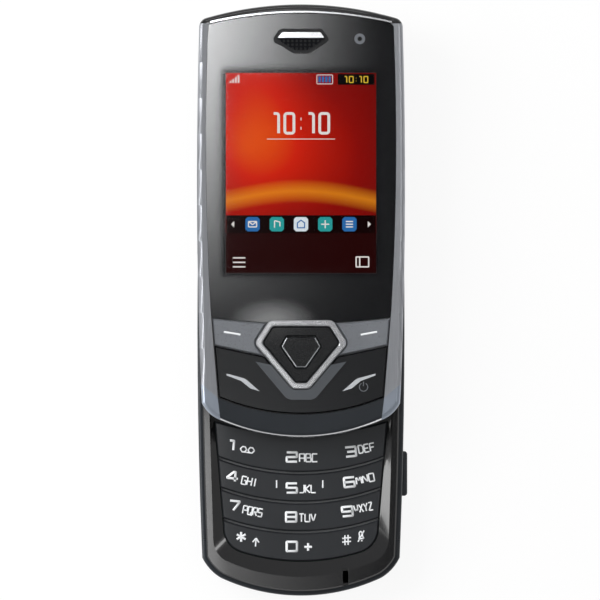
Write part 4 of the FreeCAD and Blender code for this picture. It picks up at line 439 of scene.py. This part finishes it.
def strokeTree():
    tree = bpy.data.node_groups.new("inkStrokes", "GeometryNodeTree")
    sockets = {}
    for name, kind in (("Geometry", "NodeSocketGeometry"), ("Width", "NodeSocketFloat"),
                       ("Thickness", "NodeSocketFloat"), ("Corner", "NodeSocketFloat"),
                       ("Ink", "NodeSocketMaterial")):
        sockets[name] = tree.interface.new_socket(name, in_out="INPUT", socket_type=kind).identifier
    tree.interface.new_socket("Geometry", in_out="OUTPUT", socket_type="NodeSocketGeometry")
    given = addNode(tree, "NodeGroupInput").outputs
    path = addNode(tree, "GeometryNodeMeshToCurve", {"Mesh": given["Geometry"]})
    soft = addNode(tree, "GeometryNodeFilletCurve", {
        "Curve": path.outputs["Curve"], "Radius": given["Corner"], "Limit Radius": True, "Count": 3},
        mode="POLY")
    level = addNode(tree, "GeometryNodeSetCurveNormal", {"Curve": soft.outputs["Curve"]}, mode="Z_UP")
    section = addNode(tree, "GeometryNodeCurvePrimitiveQuadrilateral", {
        "Width": given["Width"], "Height": given["Thickness"]})
    ribbon = addNode(tree, "GeometryNodeCurveToMesh", {
        "Curve": level.outputs["Curve"], "Profile Curve": section.outputs["Curve"], "Fill Caps": True})
    solid = addNode(tree, "GeometryNodeRealizeInstances", {"Geometry": ribbon.outputs["Mesh"]})
    printed = addNode(tree, "GeometryNodeSetMaterial", {
        "Geometry": solid.outputs["Geometry"], "Material": given["Ink"]})
    addNode(tree, "NodeGroupOutput", {"Geometry": printed.outputs["Geometry"]})
    return tree, sockets


inkTree, inkSockets = strokeTree()
# crossing strokes lie a few thousandths apart, as printed layers do
inkLayers = {"count": 4, "stepMm": 0.004}


def toObject(name, mesh, body):
    piece = bpy.data.objects.new(name, mesh)
    bpy.context.scene.collection.objects.link(piece)
    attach(piece, body)
    return piece


def inked(name, lines, height, width, ink, body, thickness=0.02, corner=0.12):
    mesh = bpy.data.meshes.new(name + "Path")
    points, edges = [], []
    for number, line in enumerate(lines):
        lift = height + (number % inkLayers["count"]) * inkLayers["stepMm"] * mm
        closed = line[0] == line[-1] and len(line) > 2
        run = line[:-1] if closed else line
        start = len(points)
        points += [(x * mm, y * mm, lift) for x, y in run]
        edges += [(start + i, start + i + 1) for i in range(len(run) - 1)]
        if closed:
            edges.append((start + len(run) - 1, start))
    mesh.from_pydata(points, edges, [])
    path = bpy.data.objects.new(name + "Path", mesh)
    bpy.context.scene.collection.objects.link(path)
    drawing = path.modifiers.new("ink", "NODES")
    drawing.node_group = inkTree
    for socket, setting in (("Width", width * mm), ("Thickness", thickness * mm),
                            ("Corner", corner * mm), ("Ink", ink)):
        drawing[inkSockets[socket]] = setting
    bpy.context.view_layer.update()
    done = bpy.data.meshes.new_from_object(path.evaluated_get(bpy.context.evaluated_depsgraph_get()))
    done.name = name
    bpy.data.objects.remove(path)
    return toObject(name, done, body)


def plate(name, outlines, low, thickness, material, body):
    shape = bmesh.new()
    for outline in outlines:
        corners = [shape.verts.new((x * mm, y * mm, low)) for x, y in outline]
        face = shape.faces.new(corners)
        face.normal_update()
        if face.normal.z < 0:
            face.normal_flip()
    lid = bmesh.ops.extrude_face_region(shape, geom=shape.faces[:])
    raised = [v for v in lid["geom"] if isinstance(v, bmesh.types.BMVert)]
    bmesh.ops.translate(shape, verts=raised, vec=(0, 0, thickness * mm))
    bmesh.ops.recalc_face_normals(shape, faces=shape.faces)
    mesh = bpy.data.meshes.new(name)
    shape.to_mesh(mesh)
    shape.free()
    mesh.materials.append(material)
    return toObject(name, mesh, body)


def rectangle(left, bottom, width, height):
    return [(left, bottom), (left + width, bottom), (left + width, bottom + height), (left, bottom + height)]


def looped(outline):
    return outline + outline[:1]


def topOf(node):
    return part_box(node)[1].z


# screen-printed ink under clear coat: clean white, a little raised
whiteInk = moulded("whiteInk", "#E6E8EA", 0.4, 0.3, 0.002, 0.04)
dimInk = moulded("dimInk", "#5A5D62", 0.4, 0.3, 0.002, 0.04)
silverInk = moulded("silverInk", "#C9CCD0", 0.25, 0.3, 0.002, 0.05, metallic=0.6)

keypadPrint = {"digitHeight": 2.1, "digitWidth": 2.3, "digitStroke": 0.5, "narrowOne": 0.75,
               "letterHeight": 1.75, "letterStroke": 0.31, "letterTilt": 11.0, "digitTilt": 5.5}
# row: (digit, left, baseline, lean, (letters, left, baseline, width)), leaning as the row curves
keypadLegends = {
    "key_row_1": [("1", -16.2, -33.35, -1, None), ("2", -3.2, -36.05, 0, ("ABC", -0.3, -36.05, 3.95)),
                  ("3", 10.1, -34.95, 1, ("DEF", 13.1, -34.2, 3.6))],
    "key_row_2": [("4", -16.6, -40.3, -1, ("GHI", -13.4, -41.0, 3.5)),
                  ("5", -3.2, -43.0, 0, ("JKL", -0.3, -43.0, 3.6)),
                  ("6", 9.8, -41.8, 1, ("MNO", 12.55, -41.1, 4.05))],
    "key_row_3": [("7", -16.1, -46.85, -1, ("PQRS", -13.1, -47.6, 4.3)),
                  ("8", -3.35, -49.5, 0, ("TUV", -0.4, -49.5, 3.7)),
                  ("9", 9.35, -48.35, 1, ("WXYZ", 12.15, -47.6, 4.1))],
    "key_row_4": [("0", -3.2, -56.1, 0, None)],
}
# signs beside them: (sign, left, baseline, height, width, tilt)
boldSigns = {"key_row_4": [("*", -14.5, -54.0, 2.2, 2.2, 0.0), ("+", 0.75, -56.0, 1.7, 1.7, 0.0)]}
fineSigns = {"key_row_1": [("@", -13.7, -34.0, 1.7, 3.2, -8.0)],
             "key_row_4": [("#", 9.3, -54.8, 2.2, 2.0, 6.0), ("^", -10.9, -55.0, 1.9, 1.4, -5.0),
                           ("~", 12.8, -54.0, 2.3, 1.7, 8.0)]}
touchDashes = {"key_row_2": [[(-5.45, -40.2), (-5.45, -41.9)], [(4.9, -40.2), (4.9, -41.9)]]}
for row, legends in keypadLegends.items():
    bold, fine = [], []
    for digit, left, baseline, lean, letters in legends:
        width = keypadPrint["digitWidth"] * (keypadPrint["narrowOne"] if digit == "1" else 1.0)
        bold += layOut(digit, left, baseline, keypadPrint["digitHeight"], width,
                       lean * keypadPrint["digitTilt"])
        if letters:
            text, left, baseline, width = letters
            fine += layOut(text, left, baseline, keypadPrint["letterHeight"], width,
                           lean * keypadPrint["letterTilt"])
    for sign in boldSigns.get(row, []):
        bold += layOut(*sign)
    for sign in fineSigns.get(row, []):
        fine += layOut(*sign)
    fine += touchDashes.get(row, [])
    inked(row + "_digits", bold, topOf(row), keypadPrint["digitStroke"], whiteInk, row)
    inked(row + "_letters", fine, topOf(row), keypadPrint["letterStroke"], whiteInk, row)

print("keypad legends")

functionPrint = {"callDrop": 0.1, "dashStroke": 0.42, "markThickness": 0.02,
                 "dashes": {"left": [(-17.2, -6.9), (-13.5, -7.5)], "right": [(13.3, -7.55), (16.95, -6.9)]},
                 "handset": [(-16.6, -16.2), (-12.7, -17.25), (-12.1, -17.6), (-9.2, -20.15), (-11.3, -19.5),
                             (-13.3, -17.85), (-16.6, -16.6)]}
functionTop = topOf("soft_key_left")
callTop = functionTop - functionPrint["callDrop"] * mm
for side, line in functionPrint["dashes"].items():
    inked(f"soft_dash_{side}", [line], functionTop, functionPrint["dashStroke"], whiteInk,
          f"soft_key_{side}")
for name, mirror in (("call_mark", 1), ("end_mark", -1)):
    plate(name, [[(mirror * x, y) for x, y in functionPrint["handset"]]], callTop,
          functionPrint["markThickness"], silverInk, "call_end_plate")
powerMark = {"x": 13.95, "y": -19.2, "radius": 0.95, "startDegrees": 120, "stepDegrees": 30, "points": 11,
             "stemFoot": -19.0, "stemTop": -18.0, "stroke": 0.2}
arc = []
for step in range(powerMark["points"]):
    angle = math.radians(powerMark["startDegrees"] + step * powerMark["stepDegrees"])
    arc.append((powerMark["x"] + powerMark["radius"] * math.cos(angle),
                powerMark["y"] + powerMark["radius"] * math.sin(angle)))
stem = [(powerMark["x"], powerMark["stemFoot"]), (powerMark["x"], powerMark["stemTop"])]
inked("power_mark", [arc, stem], callTop, powerMark["stroke"], dimInk, "call_end_plate")

# black acoustic felt on the floor of the microphone slot, which also serves as painted shade: a black sheet
# where the slot's floor lies in shade
slotShadeFelt = {"left": 9.4, "foot": -63.2, "width": 1.2, "length": 2.7, "floor": 7.81, "thickness": 0.1}
# pure black with no sheen: painted shade for the slot's floor
shadeFelt = moulded("acousticFeltShade", "#020202", 1.0, 0.15, 0.01, 0.2, specular=0.0)
shadeFeltOutline = rectangle(slotShadeFelt["left"], slotShadeFelt["foot"], slotShadeFelt["width"], slotShadeFelt["length"])
plate("microphone_slot_shade", [shadeFeltOutline], slotShadeFelt["floor"] * mm, slotShadeFelt["thickness"], shadeFelt, "base")

# silver line round the centre key's flanks
flankLine = {"topHalf": 3.1, "shoulderHalf": 4.1, "shoulder": -10.2, "footHalf": 1.05, "inset": 0.15,
             "sunk": 0.12, "stroke": 0.22, "corner": 0.3}
low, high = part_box("centre_key")
leftFlank = [(-flankLine["topHalf"], high.y / mm - flankLine["inset"]),
             (-flankLine["shoulderHalf"], flankLine["shoulder"]),
             (-flankLine["footHalf"], low.y / mm + flankLine["inset"])]
inked("centre_line", [leftFlank + [(-x, y) for x, y in reversed(leftFlank)]],
      topOf("centre_key") - flankLine["sunk"] * mm, flankLine["stroke"], silverInk, "centre_key",
      corner=flankLine["corner"])

print("function key marks")

# What the display shows: a plain clock, a row of plain tiles and two marks for the soft keys

screenLow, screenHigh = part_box("display_screen")
screenLayers = {"first": 0.02, "second": 0.04, "third": 0.07, "patch": 0.01}  # heights over the display
lightText = shining("lightText", "#F3ECE6")
amberText = shining("amberText", "#F0C83C")
tileBlue = shining("tileBlue", "#2E6FB0")
tileWhite = shining("tileWhite", "#E8F0F4")
tileTeal = shining("tileTeal", "#2FA3A0")
barDark = shining("barDark", "#120202")
statusBlack = shining("statusBlack", "#070606")


def litLines(name, lines, layer, stroke, ink, corner=0.12):
    inked(name, lines, screenHigh.z + screenLayers[layer] * mm, stroke, ink, "slider",
          corner=corner)


def litPatch(name, outlines, layer, ink):
    plate(name, outlines, screenHigh.z + screenLayers[layer] * mm, screenLayers["patch"], ink, "slider")


clock = {"left": -6.2, "baseline": 37.4, "height": 4.4, "width": 12.4, "stroke": 0.62, "corner": 0.5,
         "rule": [(-7.6, 36.1), (7.6, 36.1)], "ruleStroke": 0.16}
litLines("screen_clock", layOut("10:10", clock["left"], clock["baseline"], clock["height"], clock["width"]),
         "first", clock["stroke"], lightText, clock["corner"])
litLines("screen_rule", [clock["rule"]], "first", clock["ruleStroke"], lightText)

# the row along the top: small clock on black, battery and signal bars
statusRow = {"digits": (9.7, 48.7, 1.35, 5.2), "digitStroke": 0.22, "black": (8.2, 48.2, 8.2, 2.4),
             "cells": {"count": 4, "left": 3.9, "pitch": 0.75, "foot": 48.75, "width": 0.5, "height": 1.3},
             "case": (3.55, 48.4, 3.5, 2.0), "caseStroke": 0.16, "caseCorner": 0.2,
             "bars": {"count": 4, "left": -15.9, "pitch": 0.6, "foot": 48.6, "width": 0.36, "height": 0.5,
                      "growth": 0.42}}
cells, bars = statusRow["cells"], statusRow["bars"]
litLines("screen_digits", layOut("10:10", *statusRow["digits"]), "second", statusRow["digitStroke"],
         amberText)
litPatch("screen_status", [rectangle(*statusRow["black"])], "first", statusBlack)
litPatch("screen_battery", [rectangle(cells["left"] + i * cells["pitch"], cells["foot"], cells["width"],
                                      cells["height"]) for i in range(cells["count"])], "first", tileBlue)
litLines("screen_battery_case", [looped(rectangle(*statusRow["case"]))], "first", statusRow["caseStroke"],
         lightText, statusRow["caseCorner"])
litPatch("screen_signal", [rectangle(bars["left"] + i * bars["pitch"], bars["foot"], bars["width"],
                                     bars["height"] + i * bars["growth"]) for i in range(bars["count"])],
         "first", lightText)

iconRow = {"bottom": 15.1, "height": 4.0, "tile": 3.2, "pitch": 5.4, "cut": 0.5, "edge": 0.05,
           "bandWidth": 33.4, "markStroke": 0.26, "arrowHalf": 0.7, "arrowTip": 15.6, "arrowDepth": 0.7}
litPatch("screen_band", [rectangle(screenLow.x / mm + iconRow["edge"], iconRow["bottom"],
                                   iconRow["bandWidth"], iconRow["height"])], "first", barDark)
# envelope, arch, house, plus and list, each about its tile's centre
tileMarks = [(tileBlue, [looped(rectangle(-0.9, -0.6, 1.8, 1.2)), [(-0.9, 0.6), (0, -0.1), (0.9, 0.6)]]),
             (tileTeal, [[(-0.5, -0.8), (-0.5, 0.8), (0.7, 0.5), (0.7, -0.5)]]),
             (tileWhite, [looped([(-0.8, -0.8), (0.8, -0.8), (0.8, 0.3), (0, 0.9), (-0.8, 0.3)])]),
             (tileTeal, [[(-0.9, 0), (0.9, 0)], [(0, -0.9), (0, 0.9)]]),
             (tileBlue, [[(-0.8, y), (0.8, y)] for y in (0.6, 0, -0.6)])]
rowCentre = iconRow["bottom"] + iconRow["height"] / 2
half = iconRow["tile"] / 2
inner = half - iconRow["cut"]
tile = [(-inner, -half), (inner, -half), (half, -inner), (half, inner), (inner, half), (-inner, half),
        (-half, inner), (-half, -inner)]
for number, (ink, lines) in enumerate(tileMarks, start=1):
    x = (number - 3) * iconRow["pitch"]
    litPatch(f"screen_tile_{number}", [[(x + a, rowCentre + b) for a, b in tile]], "second", ink)
    litLines(f"screen_tile_mark_{number}", [[(x + a, rowCentre + b) for a, b in line] for line in lines],
             "third", iconRow["markStroke"], tileBlue if ink is tileWhite else lightText)
arrowBack = iconRow["arrowTip"] - iconRow["arrowDepth"]
leftArrow = [(-iconRow["arrowTip"], rowCentre), (-arrowBack, rowCentre - iconRow["arrowHalf"]),
             (-arrowBack, rowCentre + iconRow["arrowHalf"])]
litPatch("screen_arrows", [leftArrow, [(-x, y) for x, y in leftArrow]], "second", lightText)

# over the soft keys: three lines for a menu, a ruled book for the contacts
softMarks = {"stroke": 0.3, "lines": [[(-15.2, y), (-12.4, y)] for y in (7.6, 8.6, 9.6)],
             "book": (12.3, 7.6, 2.8, 2.2), "spine": [(13.1, 7.6), (13.1, 9.8)]}
litLines("screen_soft_marks",
         softMarks["lines"] + [looped(rectangle(*softMarks["book"])), softMarks["spine"]], "first",
         softMarks["stroke"], lightText)

print("display content")

# Stage: pale floor, soft lights and the camera straight above

camera = {"x": -0.22, "y": 0.2, "height": 1200.0, "pixelsPerMm": 4.48, "imagePixels": 600,
          "focusHeight": 13.0}
lens = bpy.data.cameras.new("camera")
eye = bpy.data.objects.new("camera", lens)
bpy.context.scene.collection.objects.link(eye)
eye.location = (camera["x"] * mm, camera["y"] * mm, camera["height"] * mm)
lens.sensor_width = 36
viewWidth = camera["imagePixels"] / camera["pixelsPerMm"]
lens.lens = lens.sensor_width * (camera["height"] - camera["focusHeight"]) / viewWidth
lens.clip_start = 0.01
bpy.context.scene.camera = eye


def squareSheet(name, half, height, order):
    mesh = bpy.data.meshes.new(name)
    corners = [(-half, -half, height), (half, -half, height), (half, half, height), (-half, half, height)]
    mesh.from_pydata(corners[::order], [], [(0, 1, 2, 3)])
    sheet = bpy.data.objects.new(name, mesh)
    bpy.context.scene.collection.objects.link(sheet)
    return sheet


# matt pale paper, which camera, metal and glass see as white
floorLook = {"half": 3.0, "height": -0.0003, "colour": "#F4F4F4", "roughness": 0.9, "toothScale": 900.0,
             "toothDepthMm": 0.02, "toothRelief": 0.1, "whiteShare": 0.9}
floor = squareSheet("floor", floorLook["half"], floorLook["height"], 1)
paper, paperTree, paperCoords = newMaterial("palePaper")
tooth = addNode(paperTree, "ShaderNodeTexNoise", {"Vector": paperCoords, "Scale": floorLook["toothScale"]})
toothBump = addNode(paperTree, "ShaderNodeBump", {
    "Height": tooth.outputs["Fac"], "Distance": floorLook["toothDepthMm"] * mm,
    "Strength": floorLook["toothRelief"]})
matt = addNode(paperTree, "ShaderNodeBsdfPrincipled", {
    "Base Color": linear(floorLook["colour"]), "Roughness": floorLook["roughness"],
    "Normal": toothBump.outputs["Normal"]})
white = addNode(paperTree, "ShaderNodeEmission", {"Color": (1, 1, 1, 1), "Strength": 1.0})
seen = addNode(paperTree, "ShaderNodeLightPath")
direct = addNode(paperTree, "ShaderNodeMath", {
    0: seen.outputs["Is Camera Ray"], 1: seen.outputs["Is Glossy Ray"]}, operation="MAXIMUM")
anyWay = addNode(paperTree, "ShaderNodeMath", {
    0: direct.outputs["Value"], 1: seen.outputs["Is Transmission Ray"]}, operation="MAXIMUM")
share = addNode(paperTree, "ShaderNodeMath", {0: anyWay.outputs["Value"], 1: floorLook["whiteShare"]},
                operation="MULTIPLY")
blend = addNode(paperTree, "ShaderNodeMixShader", {
    0: share.outputs["Value"], 1: matt.outputs["BSDF"], 2: white.outputs["Emission"]})
# seen from below, the floor is left out, so that the back of the phone can be looked at
under = addNode(paperTree, "ShaderNodeNewGeometry")
clear = addNode(paperTree, "ShaderNodeBsdfTransparent")
bothSides = addNode(paperTree, "ShaderNodeMixShader", {
    0: under.outputs["Backfacing"], 1: blend.outputs["Shader"], 2: clear.outputs["BSDF"]})
finishMaterial(paper, paperTree, bothSides.outputs["Shader"])
floor.data.materials.append(paper)

# A large soft card behind the camera that the flat faces mirror: bright at upper left, dark to the
# right, dimmed over the display so that its colours stay deep, with a soft spot for the window's foot.
# The flat faces mirror the middle of it; what lies beyond is a plain grey, lighter towards the top.
cardLook = {"half": 700.0, "height": 1500.0, "spotAt": (-14.0, -10.0), "spotReach": (22.0, 11.0),
            "spotGlow": 3.2}
# name: (axis, from mm, to mm, strength before, strength after)
cardRamps = {
    "leftward": ("X", -48, 46, 1.0, 0.0), "upward": ("Y", -12, 142, 0.08, 1.0),
    "rimFlank": ("X", -43, -38, 6.0, 0.0), "rimFoot": ("X", -45, 40, 1.3, 0.0),
    "overRim": ("Y", -60, -50, 0.0, 1.0), "rimBelow": ("Y", -60, -50, 1.0, 0.0),
    "rimAbove": ("Y", -230, -160, 0.0, 1.0),
    "nearLeft": ("X", -80, -56, 0.0, 1.0), "nearRight": ("X", 56, 80, 1.0, 0.0),
    "nearFoot": ("Y", -180, -152, 0.0, 1.0), "nearHead": ("Y", 148, 172, 1.0, 0.0),
    "greyRise": ("Y", -250, 350, 0.12, 0.7), "greyFall": ("X", -350, 350, 1.3, 0.6),
    "holeLeft": ("X", -41, -38.4, 0.0, 1.0), "holeRight": ("X", 38.4, 41, 1.0, 0.0),
    "holeFoot": ("Y", 11, 13.5, 0.0, 1.0), "holeHead": ("Y", 115, 118, 1.0, 0.0),
}
# name: (operation, first, second), each a number or the name of a step above
cardSteps = {
    "left": ("POWER", "leftward", 2.0), "top": ("POWER", "upward", 1.4),
    "corner": ("MULTIPLY", "left", "top"), "bright": ("MULTIPLY", "corner", 10.5),
    "upper": ("MULTIPLY", "bright", "overRim"),
    "rim": ("ADD", "rimFlank", "rimFoot"), "rimBand": ("MULTIPLY", "rimBelow", "rimAbove"),
    "lower": ("MULTIPLY", "rim", "rimBand"),
    "lit": ("ADD", "upper", "lower"), "middle": ("ADD", "lit", 0.06),
    "nearX": ("MULTIPLY", "nearLeft", "nearRight"), "nearY": ("MULTIPLY", "nearFoot", "nearHead"),
    "near": ("MULTIPLY", "nearX", "nearY"), "far": ("SUBTRACT", 1.0, "near"),
    "grey": ("MULTIPLY", "greyRise", "greyFall"),
    "nearGlow": ("MULTIPLY", "middle", "near"), "farGlow": ("MULTIPLY", "grey", "far"),
    "glow": ("ADD", "nearGlow", "farGlow"),
    "holeX": ("MULTIPLY", "holeLeft", "holeRight"), "holeY": ("MULTIPLY", "holeFoot", "holeHead"),
    "hole": ("MULTIPLY", "holeX", "holeY"), "dimming": ("MULTIPLY", "hole", 0.97),
    "shown": ("SUBTRACT", 1.0, "dimming"), "cut": ("MULTIPLY", "glow", "shown"),
    "all": ("ADD", "cut", "spot"),
}
card = squareSheet("reflectionCard", cardLook["half"] * mm, cardLook["height"] * mm, -1)
card.visible_camera = False
card.visible_diffuse = False
card.visible_shadow = False
glowing, glowTree, glowCoords = newMaterial("cardGlow")
cardParts = addNode(glowTree, "ShaderNodeSeparateXYZ", {"Vector": glowCoords})
glows = {}
for name, (axis, low, high, start, end) in cardRamps.items():
    glows[name] = addNode(glowTree, "ShaderNodeMapRange", {
        "Value": cardParts.outputs[axis], "From Min": low * mm, "From Max": high * mm, "To Min": start,
        "To Max": end}).outputs["Result"]
spotX, spotY = cardLook["spotAt"]
reachX, reachY = cardLook["spotReach"]
spotShift = addNode(glowTree, "ShaderNodeMapping", {
    "Vector": glowCoords, "Location": (-spotX * mm, -spotY * mm, 0)})
spotScale = addNode(glowTree, "ShaderNodeVectorMath", {
    0: spotShift.outputs["Vector"], 1: (1 / (reachX * mm), 1 / (reachY * mm), 0)}, operation="MULTIPLY")
spotAway = addNode(glowTree, "ShaderNodeVectorMath", {0: spotScale.outputs["Vector"]}, operation="LENGTH")
glows["spot"] = addNode(glowTree, "ShaderNodeMapRange", {
    "Value": spotAway.outputs["Value"], "To Min": cardLook["spotGlow"], "To Max": 0.0}).outputs["Result"]
for name, (operation, first, second) in cardSteps.items():
    glows[name] = addNode(glowTree, "ShaderNodeMath", {
        0: glows.get(first, first), 1: glows.get(second, second)}, operation=operation).outputs["Value"]
cardLight = addNode(glowTree, "ShaderNodeEmission", {"Strength": glows["all"]})
finishMaterial(glowing, glowTree, cardLight.outputs["Emission"])
card.data.materials.append(glowing)

# lamps: a near key at upper left, strips at the sides for the edges, soft fill from above
lamps = {"key": {"at": (-0.26, 0.16, 0.3), "size": (0.2, 0.2), "power": 1.1, "mirrored": False},
         "leftStrip": {"at": (-0.6, 0.05, 0.27), "size": (0.7, 0.26), "power": 3.0, "mirrored": True},
         "rightStrip": {"at": (0.35, 0.1, 0.62), "size": (0.06, 0.5), "power": 0.5, "mirrored": True},
         "top": {"at": (-0.1, 0.7, 0.5), "size": (0.5, 0.1), "power": 0.7, "mirrored": True}}
for name, look in lamps.items():
    lamp = bpy.data.lights.new(name, "AREA")
    lamp.shape = "RECTANGLE"
    lamp.size, lamp.size_y = look["size"]
    lamp.energy = look["power"]
    holder = bpy.data.objects.new(name, lamp)
    bpy.context.scene.collection.objects.link(holder)
    holder.location = look["at"]
    holder.rotation_euler = (-Vector(look["at"])).to_track_quat("-Z", "Y").to_euler()
    holder.visible_glossy = look["mirrored"]

world = bpy.data.worlds.new("studio")
bpy.context.scene.world = world
world.use_nodes = True
worldTree = world.node_tree
worldTree.nodes.clear()
sky = addNode(worldTree, "ShaderNodeBackground", {"Color": (1, 1, 1, 1), "Strength": 0.45})
addNode(worldTree, "ShaderNodeOutputWorld", {"Surface": sky.outputs["Background"]})

bpy.context.scene.view_settings.view_transform = "Standard"

print("stage")
